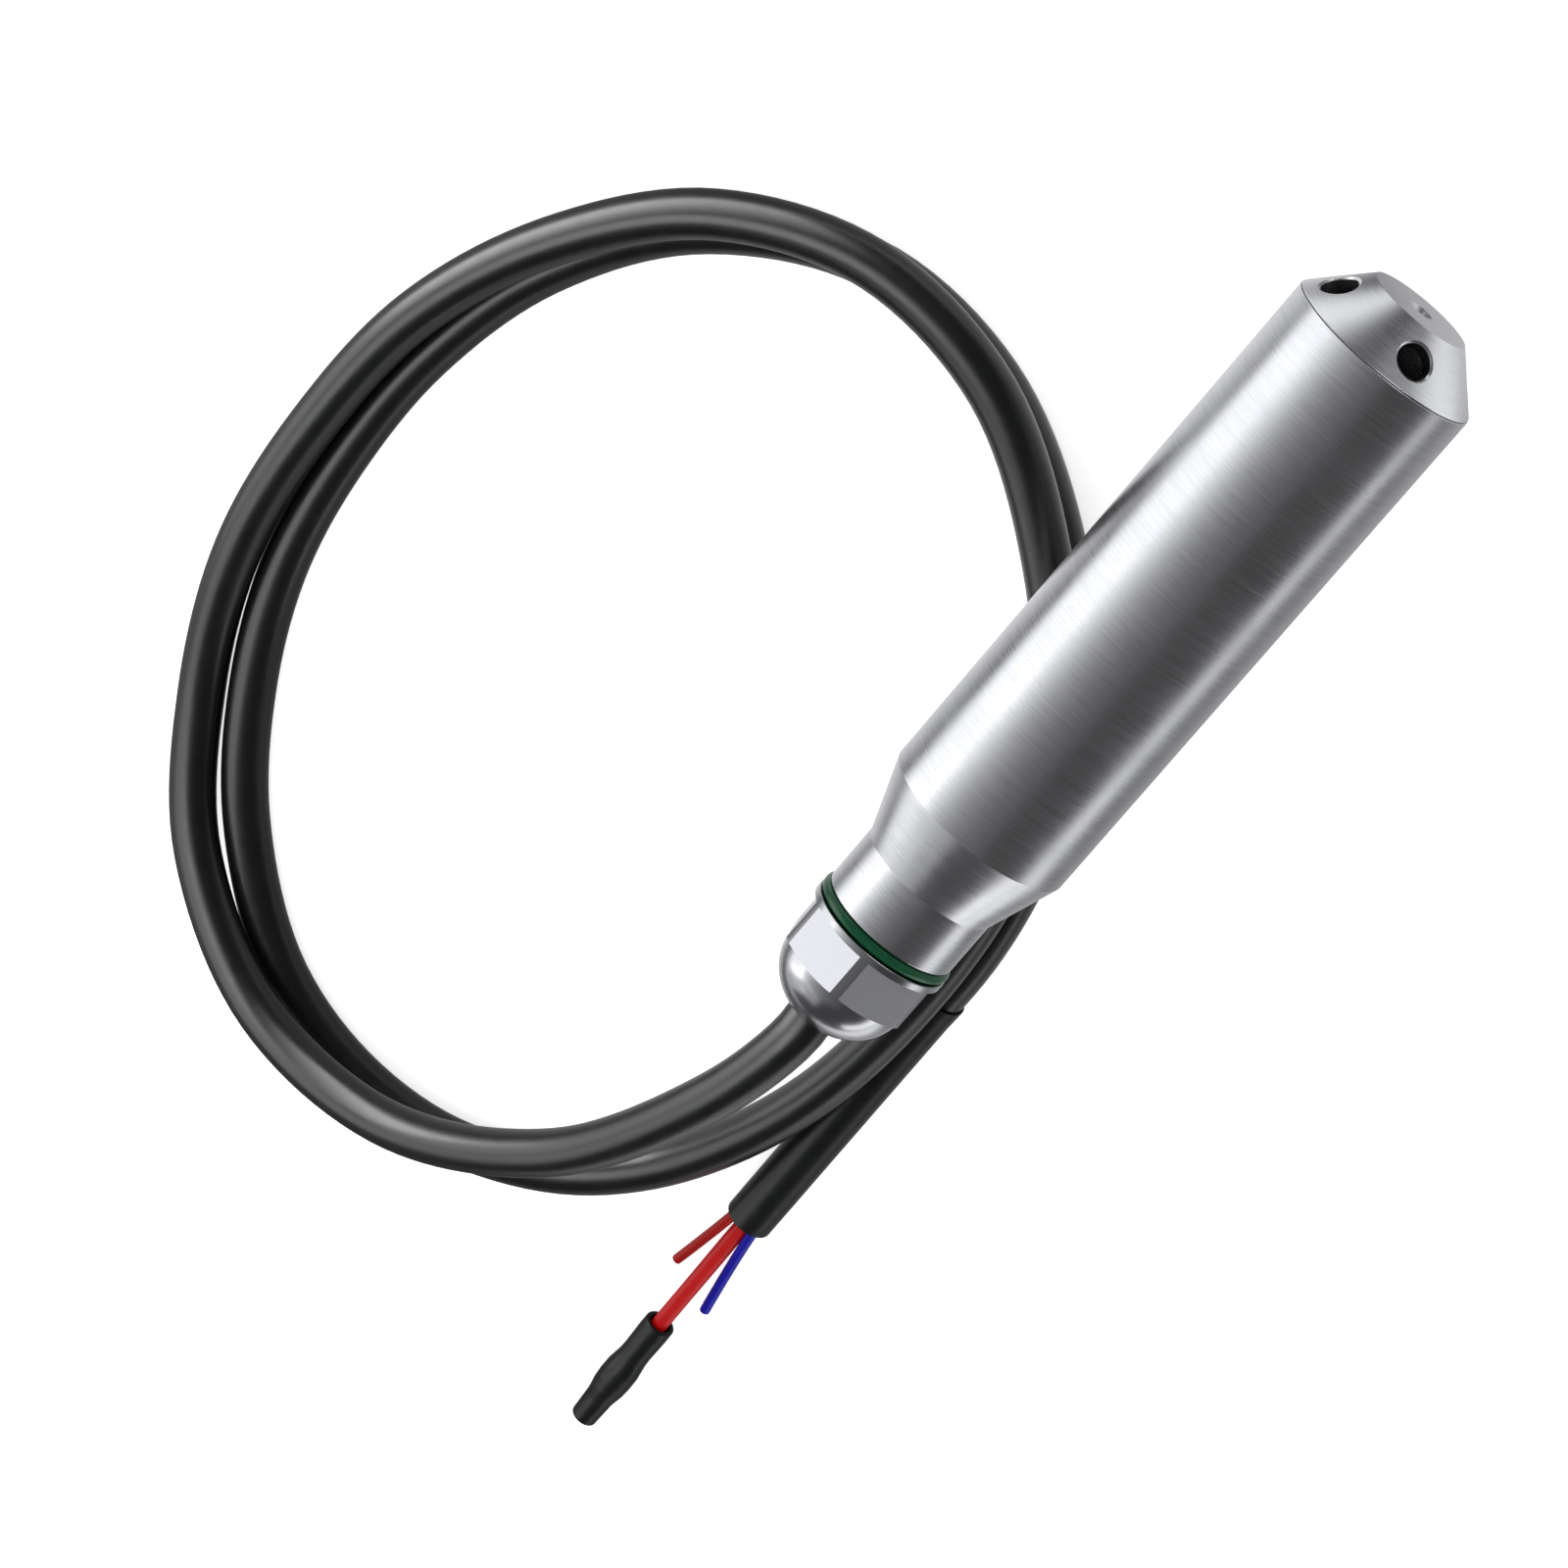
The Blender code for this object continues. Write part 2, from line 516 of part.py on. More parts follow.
# Leads and breather tube, side by side in the sleeve and spread on the floor beyond it.
lead_side = LEAD_RADIUS + 0.35 * MM
lead_up = 1.2 * MM
lead_floor = LEAD_RADIUS - SLEEVE_RADIUS
vent_up = -1.1 * MM
breather_up = BREATHER_BULGE_RADIUS - SLEEVE_RADIUS
round_wire("red_lead", evenly(smooth_curve([
    beyond_sleeve(-lead_side, lead_up, 0),
    beyond_sleeve(-lead_side, lead_up, SLEEVE_LENGTH * 0.5),
    beyond_sleeve(-lead_side, lead_up, SLEEVE_LENGTH + 0.5 * MM),
    beyond_sleeve(-lead_side - 1.1 * MM, lead_up - 1.0 * MM, SLEEVE_LENGTH + RED_LEAD_REACH * 0.34),
    beyond_sleeve(-lead_side - 2.1 * MM, lead_floor + 0.9 * MM, SLEEVE_LENGTH + RED_LEAD_REACH * 0.69),
    beyond_sleeve(-lead_side - 2.9 * MM, lead_floor, SLEEVE_LENGTH + RED_LEAD_REACH)]), 18),
    LEAD_RADIUS, RED)
round_wire("blue_lead", evenly(smooth_curve([
    beyond_sleeve(lead_side, lead_up, 0),
    beyond_sleeve(lead_side, lead_up, SLEEVE_LENGTH * 0.5),
    beyond_sleeve(lead_side, lead_up, SLEEVE_LENGTH + 0.5 * MM),
    beyond_sleeve(lead_side + 0.9 * MM, lead_up - 1.2 * MM, SLEEVE_LENGTH + BLUE_LEAD_REACH * 0.3),
    beyond_sleeve(lead_side + 2.0 * MM, lead_floor + 0.9 * MM, SLEEVE_LENGTH + BLUE_LEAD_REACH * 0.65),
    beyond_sleeve(lead_side + 2.9 * MM, lead_floor, SLEEVE_LENGTH + BLUE_LEAD_REACH)]), 18),
    LEAD_RADIUS, BLUE)
vent_shown = SLEEVE_LENGTH + VENT_REACH
vent_line = evenly(smooth_curve([
    beyond_sleeve(0, vent_up, 0),
    beyond_sleeve(0, vent_up, SLEEVE_LENGTH * 0.5),
    beyond_sleeve(0, vent_up, SLEEVE_LENGTH + 1.0 * MM),
    beyond_sleeve(0.1 * MM, (vent_up + breather_up) / 2, SLEEVE_LENGTH + VENT_REACH / 2),
    beyond_sleeve(0.2 * MM, breather_up, vent_shown),
    beyond_sleeve(0.25 * MM, breather_up, vent_shown + BREATHER_OVERLAP)]), 24)
round_wire("vent_tube", vent_line, VENT_RADIUS, RED)

# Breather cap: a shrunk hood on the breather tube's end, with a bulge over its filter.
hood_aim = (vent_line[-1] - vent_line[-3]).normalized()
hood_side = Vector((0, 0, 1)).cross(hood_aim).normalized()
hood_up = hood_aim.cross(hood_side)
hood_start = vent_line[-1] - hood_aim * BREATHER_OVERLAP
hood_base = bpy.data.objects.new("breather_axis", None)
parts.objects.link(hood_base)
hood_base.matrix_world = Matrix((
    (hood_side.x, hood_up.x, hood_aim.x, hood_start.x),
    (hood_side.y, hood_up.y, hood_aim.y, hood_start.y),
    (hood_side.z, hood_up.z, hood_aim.z, hood_start.z),
    (0, 0, 0, 1)))
turned("breather_cap", [
    (0, BREATHER_LENGTH),
    (BREATHER_END_RADIUS - EDGE, BREATHER_LENGTH),
    (BREATHER_END_RADIUS, BREATHER_LENGTH - EDGE),
    (BREATHER_END_RADIUS + 0.1 * MM, BREATHER_LENGTH * 0.75),
    (BREATHER_BULGE_RADIUS, BREATHER_LENGTH * 0.62),
    (BREATHER_BULGE_RADIUS, BREATHER_LENGTH * 0.5),
    (BREATHER_TOP_RADIUS - 0.1 * MM, BREATHER_LENGTH * 0.34),
    (BREATHER_TOP_RADIUS, EDGE),
    (BREATHER_TOP_RADIUS - EDGE, 0),
    (VENT_RADIUS + FIT, 0),
    (VENT_RADIUS + FIT, BREATHER_OVERLAP + FIT),
    (0, BREATHER_OVERLAP + FIT)], SHRINK, steps=28, parent=hood_base)

# Sensor end: retaining ring, carrier with its seal, pressure cell with its seal and diaphragm.
ring_bore = INSIDE_RADIUS - RING_WIDTH
retaining_ring = turned("retaining_ring", sleeve_profile(
    INSIDE_RADIUS, ring_bore, RING_TOP - RING_THICKNESS, RING_TOP, EDGE), STEEL, steps=40)
for number in range(2):
    side = 1 if number else -1
    slot = block(f"spanner_slot_{number + 1}", (2.4 * MM, 1.6 * MM, RING_THICKNESS), (0, 0, 0), STEEL)
    slot.location = (side * ring_bore, 0, RING_TOP)
    cut(retaining_ring, as_cutter(slot))
groove_middle = WEB_TOP - CARRIER_WEB / 2
carrier_groove = INSIDE_RADIUS - CARRIER_GROOVE_DEPTH
turned("sensor_carrier", [
    (INSIDE_RADIUS - EDGE, CARRIER_TOP),
    (INSIDE_RADIUS, CARRIER_TOP - EDGE),
    (INSIDE_RADIUS, groove_middle + SEAL_GROOVE_WIDTH / 2),
    (carrier_groove, groove_middle + SEAL_GROOVE_WIDTH / 2),
    (carrier_groove, groove_middle - SEAL_GROOVE_WIDTH / 2),
    (INSIDE_RADIUS, groove_middle - SEAL_GROOVE_WIDTH / 2),
    (INSIDE_RADIUS, CARRIER_END),
    (CELL_BORE_RADIUS, CARRIER_END),
    (CELL_BORE_RADIUS, WEB_TOP - CARRIER_WEB),
    (CARRIER_WEB_BORE, WEB_TOP - CARRIER_WEB),
    (CARRIER_WEB_BORE, WEB_TOP),
    (CELL_BORE_RADIUS, WEB_TOP),
    (CELL_BORE_RADIUS, CARRIER_TOP)], STEEL, steps=40)
carrier_seal = (BORE_RADIUS - carrier_groove) / 2 - FIT
turned("carrier_o_ring", ring_section((BORE_RADIUS + carrier_groove) / 2, carrier_seal,
                                      groove_middle, sides=8), BLACK_RUBBER, steps=36)
cell_radius = CELL_BORE_RADIUS - FIT
cell_rim = cell_radius - CELL_RIM_WIDTH
cell_front = CARRIER_TOP
cell_groove = CELL_REAR + CELL_GROOVE_HEIGHT
cell_groove_root = cell_radius - CELL_GROOVE_DEPTH
turned("pressure_cell", [
    (0, cell_front - CELL_RECESS),
    (cell_rim, cell_front - CELL_RECESS),
    (cell_rim, cell_front),
    (cell_radius - EDGE, cell_front),
    (cell_radius, cell_front - EDGE),
    (cell_radius, cell_groove + SEAL_GROOVE_WIDTH / 2),
    (cell_groove_root, cell_groove + SEAL_GROOVE_WIDTH / 2),
    (cell_groove_root, cell_groove - SEAL_GROOVE_WIDTH / 2),
    (cell_radius, cell_groove - SEAL_GROOVE_WIDTH / 2),
    (cell_radius, CELL_REAR),
    (CARRIER_WEB_BORE - FIT, CELL_REAR),
    (CARRIER_WEB_BORE - FIT, CELL_BOSS_END),
    (0, CELL_BOSS_END)], STEEL, steps=40)
cell_seal = (CELL_BORE_RADIUS - cell_groove_root) / 2 - FIT
turned("cell_o_ring", ring_section((CELL_BORE_RADIUS + cell_groove_root) / 2, cell_seal, cell_groove,
                                   sides=8), BLACK_RUBBER, steps=36)
disc_radius = cell_rim - FIT
disc_middle = cell_front - CELL_RECESS + FIT + DIAPHRAGM_THICKNESS / 2 + DIAPHRAGM_RIPPLE
waves = [(disc_radius * step / 16, disc_middle + DIAPHRAGM_RIPPLE * math.cos(math.tau * step / 4))
         for step in range(17)]
turned("diaphragm", [(radius, height + DIAPHRAGM_THICKNESS / 2) for radius, height in waves]
       + [(radius, height - DIAPHRAGM_THICKNESS / 2) for radius, height in reversed(waves)],
       STEEL, steps=32)

# Pins and reference pipe at the back of the cell, and the round board on the pins.
pin_board = rod("pin_board", CELL_BORE_RADIUS - PIN_BOARD_MARGIN, (0, 0, PIN_BOARD_END),
                (0, 0, PIN_BOARD_TOP), BOARD_GREEN, sides=32)
for number in range(PIN_COUNT):
    turn = math.tau * (number + 0.5) / PIN_COUNT
    foot = Vector((PIN_CIRCLE * math.cos(turn), PIN_CIRCLE * math.sin(turn), 0))
    rod(f"cell_pin_{number + 1}", PIN_RADIUS, foot + Vector((0, 0, PIN_TOP - PIN_LENGTH)),
        foot + Vector((0, 0, PIN_TOP)), GOLD_PIN, sides=10)
rod("cell_vent_pipe", CELL_PIPE_RADIUS, (0, 0, CARRIER_END - CELL_PIPE_REACH), (0, 0, PIN_TOP), STEEL,
    sides=12)
pipe_way = rod("pipe_way", CELL_PIPE_RADIUS + FIT, (0, 0, PIN_BOARD_END - BOARD_THICKNESS),
               (0, 0, PIN_BOARD_TOP + BOARD_THICKNESS), STEEL, sides=16)
cut(pin_board, as_cutter(pipe_way))

# Amplifier board, carried in slots in two plastic rings.
board_low = REAR_HOLDER_END + FIT
board_high = FRONT_HOLDER_TOP - FIT
board_middle = (board_low + board_high) / 2
board_height = -BOARD_DROP + BOARD_THICKNESS / 2
board_width = 2 * (INSIDE_RADIUS - BOARD_MARGIN)
block("amplifier_board", (BOARD_THICKNESS, board_width, board_high - board_low),
      (board_height, 0, board_middle), BOARD_GREEN)
board_slot = as_cutter(block("board_slot", (
    BOARD_THICKNESS + 2 * FIT, board_width + 2 * FIT, board_high - board_low + 2 * HOLDER_THICKNESS),
    (board_height, 0, board_middle), STEEL))
for name, low in (("rear_board_holder", REAR_HOLDER_END),
                  ("front_board_holder", FRONT_HOLDER_TOP - HOLDER_THICKNESS)):
    holder = turned(name, sleeve_profile(INSIDE_RADIUS, INSIDE_RADIUS - HOLDER_WIDTH, low,
                                         low + HOLDER_THICKNESS), HOLDER_WHITE, steps=40)
    cut(holder, board_slot)

# What stands on the board, from the cable's side to the sensor's, in rows with even gaps.
board_top = -BOARD_DROP + BOARD_THICKNESS + FIT
terminal_low = REAR_HOLDER_END + HOLDER_THICKNESS + FIT
link_foot = board_high - LINK_REACH
surge_row = max(2 * SURGE_RADIUS, TRANSISTOR_SIZE.z)
chip_row = max(CHIP_SIZE.z, TRIMMER_SIZE.z)
row_gap = (link_foot - terminal_low - TERMINAL_SIZE.z - surge_row - chip_row - 2 * CAN_RADIUS) / 4
terminal_block = block("terminal_block", TERMINAL_SIZE, (
    board_top + TERMINAL_SIZE.x / 2, 0, terminal_low + TERMINAL_SIZE.z / 2), TERMINAL_GREEN, EDGE)
lead_entry_height = board_top + TERMINAL_SIZE.x / 2
for number in range(2):
    side = 1 if number else -1
    way = rod(f"lead_way_{number + 1}", LEAD_RADIUS + FIT,
              (lead_entry_height, side * LEAD_SPACING, terminal_low - LEAD_DEPTH),
              (lead_entry_height, side * LEAD_SPACING, terminal_low + LEAD_DEPTH), STEEL, sides=14)
    cut(terminal_block, as_cutter(way))
surge_low = terminal_low + TERMINAL_SIZE.z + row_gap
surge_height = board_top + SURGE_RADIUS
rod("surge_arrester", SURGE_RADIUS,
    (surge_height, -PART_GAP - SURGE_LENGTH, surge_low + SURGE_RADIUS),
    (surge_height, -PART_GAP, surge_low + SURGE_RADIUS), CAN_GREY, sides=20, edge=EDGE)
block("output_transistor", TRANSISTOR_SIZE, (
    board_top + TRANSISTOR_SIZE.x / 2, PART_GAP + TRANSISTOR_SIZE.y / 2,
    surge_low + TRANSISTOR_SIZE.z / 2), CHIP_BLACK, EDGE)
chip_low = surge_low + surge_row + row_gap
block("signal_chip", CHIP_SIZE, (
    board_top + CHIP_SIZE.x / 2, 0, chip_low + CHIP_SIZE.z / 2), CHIP_BLACK, EDGE)
trimmer_side = CHIP_SIZE.y / 2 + PART_GAP + TRIMMER_SIZE.y / 2
for name, side in (("zero_trimmer", -trimmer_side), ("span_trimmer", trimmer_side)):
    block(name, TRIMMER_SIZE, (
        board_top + TRIMMER_SIZE.x / 2, side, chip_low + CHIP_SIZE.z / 2), TRIMMER_BLUE, EDGE)
can_middle = chip_low + chip_row + row_gap + CAN_RADIUS
for number in range(2):
    side = (CAN_RADIUS + PART_GAP) * (1 if number else -1)
    rod(f"filter_capacitor_{number + 1}", CAN_RADIUS, (board_top, side, can_middle),
        (board_top + CAN_HEIGHT, side, can_middle), CAN_GREY, sides=20, edge=EDGE)

# Wires from the round board down to the amplifier board, and the cable's own leads inside.
pad_height = board_top + WIRE_RADIUS
link_top = PIN_BOARD_END - FIT
for number in range(PIN_COUNT):
    side = (number - (PIN_COUNT - 1) / 2) * 1.8 * MM
    round_wire(f"link_wire_{number + 1}", evenly(smooth_curve([
        Vector((4.6 * MM, side, link_top)),
        Vector((4.4 * MM, side, link_top - 1.6 * MM)),
        Vector((2.4 * MM, side, (link_top + link_foot) / 2)),
        Vector((pad_height, side, link_foot + 2.6 * MM)),
        Vector((pad_height, side, link_foot))], 8), 9), WIRE_RADIUS, RED if number == 0 else
        HOLDER_WHITE, parent=probe)
lead_foot = CABLE_TAIL + FIT
lead_top = terminal_low + LEAD_DEPTH - FIT
for name, look, side in (("red_lead_inner", RED, -1), ("blue_lead_inner", BLUE, 1)):
    round_wire(name, evenly(smooth_curve([
        Vector((1.3 * MM, side * 1.3 * MM, lead_foot)),
        Vector((1.3 * MM, side * 1.3 * MM, lead_foot + 1.5 * MM)),
        Vector((lead_entry_height, side * LEAD_SPACING, terminal_low - 2.5 * MM)),
        Vector((lead_entry_height, side * LEAD_SPACING, lead_top))], 8), 10), LEAD_RADIUS, look,
        parent=probe)
rod("vent_tube_inner", VENT_RADIUS, (-1.6 * MM, 0, lead_foot), (-1.6 * MM, 0, lead_foot + 5.0 * MM), RED,
    sides=14)

for made in parts.objects:
    if made.type == "MESH":
        made.data.shade_smooth()
        made.data.set_sharp_from_angle(angle=math.radians(32))
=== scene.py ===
"""Looks of the submersible level transmitter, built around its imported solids.

Lengths are in metres, and the profiles of turned pieces and the routes of cords in
millimetres. The probe leans nose-down on its own cable, its nose towards +X, and the
cable lies in two turns on the +Y side.
"""
import json
import math

import bmesh
import bpy
from mathutils import Matrix, Vector


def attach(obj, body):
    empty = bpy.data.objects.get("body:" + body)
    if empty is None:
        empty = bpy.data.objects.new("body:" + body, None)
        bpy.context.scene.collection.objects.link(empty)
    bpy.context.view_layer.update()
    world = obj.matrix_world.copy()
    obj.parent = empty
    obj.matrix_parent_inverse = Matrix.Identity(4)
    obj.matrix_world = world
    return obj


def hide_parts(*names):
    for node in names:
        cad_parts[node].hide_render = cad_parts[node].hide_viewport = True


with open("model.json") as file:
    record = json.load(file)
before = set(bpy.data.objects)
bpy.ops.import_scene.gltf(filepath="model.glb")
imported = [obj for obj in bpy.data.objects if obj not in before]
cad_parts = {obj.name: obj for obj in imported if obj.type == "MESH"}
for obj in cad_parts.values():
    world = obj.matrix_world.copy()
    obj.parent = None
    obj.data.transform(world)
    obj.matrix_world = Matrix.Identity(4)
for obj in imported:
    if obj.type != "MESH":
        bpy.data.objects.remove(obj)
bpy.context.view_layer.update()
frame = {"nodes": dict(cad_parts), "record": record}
nodes = frame["nodes"]
MM = 0.001


# ---- Camera and floor --------------------------------------------------------------------
# A long lens looks down on the nose side of the probe. The floor and the background are
# white to the camera, and the metal sees a dimmer studio in their place.

def linear(hex_colour):
    """A linear colour from an sRGB hex one."""
    channels = [int(hex_colour[k:k + 2], 16) / 255 for k in (1, 3, 5)]
    return [c / 12.92 if c <= 0.04045 else ((c + 0.055) / 1.055) ** 2.4 for c in channels] + [1.0]


def add_node(tree, kind, inputs=None, stops=(), **settings):
    """One shader node with its settings. Its inputs are values or other nodes' outputs.

    Stops fill a ramp with greys, as (place, level) pairs."""
    made = tree.nodes.new("ShaderNode" + kind)
    for key, value in settings.items():
        setattr(made, key, value)
    for key, value in (inputs or {}).items():
        if isinstance(value, bpy.types.NodeSocket):
            tree.links.new(value, made.inputs[key])
        else:
            made.inputs[key].default_value = value
    if stops:
        elements = made.color_ramp.elements
        while len(elements) < len(stops):
            elements.new(0.5)
        for element, (spot, level) in zip(elements, stops):
            element.position = spot
            element.color = (level, level, level, 1)
    return made


def link(made):
    """Puts a new object in the scene."""
    bpy.context.scene.collection.objects.link(made)
    return made


camera_data = bpy.data.cameras.new("camera")
camera_data.sensor_width = 36
camera_data.lens = 124.84
camera_data.clip_start = 0.02
camera_data.clip_end = 20
camera = link(bpy.data.objects.new("camera", camera_data))
camera.matrix_world = Matrix((
    (0.55329, 0.65368, 0.51632, 0.33625),
    (-0.76329, 0.64606, 0.0, 0.02303),
    (-0.33357, -0.39410, 0.85639, 0.65934),
    (0, 0, 0, 1)))
bpy.context.scene.camera = camera
bpy.context.scene.view_settings.view_transform = "Standard"

# A Mix node's sockets for colours share their names with those for numbers, so they go by place.
COLOUR_A = 6
COLOUR_B = 7
COLOUR_OUT = 2

GLOSSY_ROOM = 0.08
DIFFUSE_ROOM = 0.75
world = bpy.data.worlds.new("studio")
world.use_nodes = True
bpy.context.scene.world = world
tree = world.node_tree
tree.nodes.clear()
ray = add_node(tree, "LightPath")
room = add_node(tree, "Mix", {"Factor": ray.outputs["Is Glossy Ray"],
                              "A": DIFFUSE_ROOM, "B": GLOSSY_ROOM})
seen = add_node(tree, "Mix", {"Factor": ray.outputs["Is Camera Ray"],
                              "A": room.outputs["Result"], "B": 1.0})
sky = add_node(tree, "Background", {"Color": (1, 1, 1, 1), "Strength": seen.outputs["Result"]})
add_node(tree, "OutputWorld", {"Surface": sky.outputs["Background"]})

FLOOR_HALF_WIDTH = 4.0
shape = bmesh.new()
bmesh.ops.create_grid(shape, x_segments=1, y_segments=1, size=FLOOR_HALF_WIDTH)
floor_mesh = bpy.data.meshes.new("floor")
shape.to_mesh(floor_mesh)
shape.free()
floor = link(bpy.data.objects.new("floor", floor_mesh))
floor.location.z = -0.02 * MM

# Matt white paper, lifted to pure white for the camera. The metal sees bands of grey in its
# place, which run along the housing as black and white cards beside it would: one row of
# bands beside it, one before its nose and one behind its gland, each from -Y to +Y.
paper = bpy.data.materials.new("floor_paper")
paper.use_nodes = True
tree = paper.node_tree
tree.nodes.clear()
ray = add_node(tree, "LightPath")
matt = add_node(tree, "BsdfDiffuse", {"Color": linear("#e6e6e6")})
lift = add_node(tree, "Emission", {"Color": (1, 1, 1, 1), "Strength": 0.62})
lit = add_node(tree, "AddShader", {0: matt.outputs["BSDF"], 1: lift.outputs["Emission"]})
place = add_node(tree, "SeparateXYZ", {"Vector": add_node(tree, "TexCoord").outputs["Object"]})
across = add_node(tree, "MapRange", {"Value": place.outputs["Y"],
                                     "From Min": -0.4, "From Max": 0.4}).outputs["Result"]
beside = add_node(tree, "ValToRGB", {"Fac": across}, stops=(
    (0.0, 0.36), (0.25, 0.32), (0.36, 0.11), (0.43, 0.15), (0.47, 0.25), (0.53, 0.5),
    (0.575, 0.3), (0.61, 0.13), (0.66, 0.2), (0.85, 0.8), (1.0, 0.9)))
before = add_node(tree, "ValToRGB", {"Fac": across}, stops=(
    (0.0, 0.15), (0.36, 0.45), (0.455, 0.68), (0.49, 0.34), (0.515, 0.08), (0.53, 0.14),
    (0.545, 0.7), (0.57, 0.85), (0.68, 0.7), (0.85, 0.8), (1.0, 0.9)))
behind = add_node(tree, "ValToRGB", {"Fac": across}, stops=(
    (0.0, 0.6), (0.3, 0.8), (0.42, 0.5), (0.46, 0.15), (0.5, 0.05), (0.6, 0.06), (0.7, 0.3),
    (0.85, 0.5), (1.0, 0.6)))
ahead = add_node(tree, "MapRange", {"Value": place.outputs["X"],
                                    "From Min": 0.052, "From Max": 0.066})
astern = add_node(tree, "MapRange", {"Value": place.outputs["X"],
                                     "From Min": -0.09, "From Max": -0.17})
beyond_nose = add_node(tree, "MapRange", {"Value": place.outputs["X"],
                                          "From Min": 0.12, "From Max": 0.32})
front = add_node(tree, "Mix", {"Factor": ahead.outputs["Result"], COLOUR_A: beside.outputs["Color"],
                               COLOUR_B: before.outputs["Color"]}, data_type="RGBA")
fading = add_node(tree, "Mix", {"Factor": beyond_nose.outputs["Result"],
                                COLOUR_A: front.outputs[COLOUR_OUT],
                                COLOUR_B: (0.06, 0.06, 0.06, 1)}, data_type="RGBA")
banded = add_node(tree, "Mix", {"Factor": astern.outputs["Result"],
                                COLOUR_A: fading.outputs[COLOUR_OUT],
                                COLOUR_B: behind.outputs["Color"]}, data_type="RGBA")
dim = add_node(tree, "Emission", {"Color": banded.outputs[COLOUR_OUT], "Strength": 2.0})
chosen = add_node(tree, "MixShader", {0: ray.outputs["Is Glossy Ray"], 1: lit.outputs["Shader"],
                                      2: dim.outputs["Emission"]})
add_node(tree, "OutputMaterial", {"Surface": chosen.outputs["Shader"]})
floor_mesh.materials.append(paper)


# ---- Lamps -------------------------------------------------------------------------------
# Soft boxes a metre away, set out round the leaning probe. Some of them light the steel
# alone, as cards and screens would, and those for the black pieces follow further down.

LEAN = math.radians(12.4)
FORWARD = Vector((math.cos(LEAN), 0, -math.sin(LEAN)))
UPWARD = Vector((math.sin(LEAN), 0, math.cos(LEAN)))
LEFT = Vector((0, 1, 0))


def soft_box(name, towards, length, height, brightness, fade=(), run=FORWARD, glossy=True):
    """A soft lamp a metre away in one direction, its length lying as near as it can to run.

    Fade gives its brightness across its height from the +Y side, as (place, level) pairs."""
    towards = towards.normalized()
    along = (run - towards * run.dot(towards)).normalized()
    across = towards.cross(along)
    data = bpy.data.lights.new(name, "AREA")
    data.shape = "RECTANGLE"
    data.size = length
    data.size_y = height
    data.energy = brightness * math.pi * length * height
    if fade:
        data.use_nodes = True
        tree = data.node_tree
        geometry = add_node(tree, "NewGeometry")
        spot = add_node(tree, "SeparateXYZ", {"Vector": geometry.outputs["Parametric"]})
        down = add_node(tree, "MapRange", {"Value": spot.outputs["Y"],
                                           "From Min": 1.0, "From Max": 0.0})
        ramp = add_node(tree, "ValToRGB", {"Fac": down.outputs["Result"]}, stops=fade)
        tree.links.new(ramp.outputs["Color"], tree.nodes["Emission"].inputs["Color"])
    made = link(bpy.data.objects.new(name, data))
    made.matrix_world = Matrix((
        (along.x, across.x, towards.x, towards.x),
        (along.y, across.y, towards.y, towards.y),
        (along.z, across.z, towards.z, towards.z),
        (0, 0, 0, 1)))
    made.visible_camera = False
    made.visible_glossy = glossy
    return made


def aim(turn, lean):
    """A direction turned about the probe's axis from straight above, and leaning to its nose."""
    turn = math.radians(turn)
    return UPWARD * math.cos(turn) * 0.95 - LEFT * math.sin(turn) * 0.95 + FORWARD * lean


def lights_only(name, pieces, lamps):
    """Lets some lamps shine on some pieces alone."""
    lit_pieces = bpy.data.collections.new(name)
    for piece in pieces:
        lit_pieces.objects.link(piece)
    for lamp in lamps:
        lamp.light_linking.receiver_collection = lit_pieces


soft_box("box_left", aim(-80, -0.25), length=1.2, height=0.66, brightness=1.7)
soft_box("box_left_rear", aim(-74, -1.1), length=0.6, height=0.5, brightness=0.8)
soft_box("box_right", aim(89, 0.0), length=1.0, height=0.22, brightness=0.75)
soft_box("box_right_rear", aim(87, -0.85), length=0.7, height=0.22, brightness=2.0)
soft_box("box_overhead", UPWARD, length=1.6, height=1.6, brightness=0.9, glossy=False)
steel_lamps = [
    soft_box("box_upper", aim(-21, -0.28), length=1.3, height=1.74, brightness=2.0, fade=(
        (0.0, 0.75), (0.09, 0.68), (0.244, 0.465), (0.367, 0.26), (0.47, 0.17), (0.581, 0.11),
        (0.687, 0.07), (0.806, 0.043), (0.95, 0.038), (1.0, 0.038))),
    soft_box("box_upper_rear", FORWARD * -0.82 + LEFT * 0.3 + UPWARD * 0.47,
             length=0.45, height=0.4, brightness=0.5, run=LEFT),
    soft_box("box_front", FORWARD * 0.76 - LEFT * 0.32 + UPWARD * 0.6,
             length=0.6, height=0.4, brightness=3.0, run=LEFT),
]


# ---- Cable -------------------------------------------------------------------------------
# Seven-millimetre black polyurethane jacket, extruded smooth over two cores and a breather
# tube. It leaves the gland straight, drops to the floor and lies in two turns under the probe.

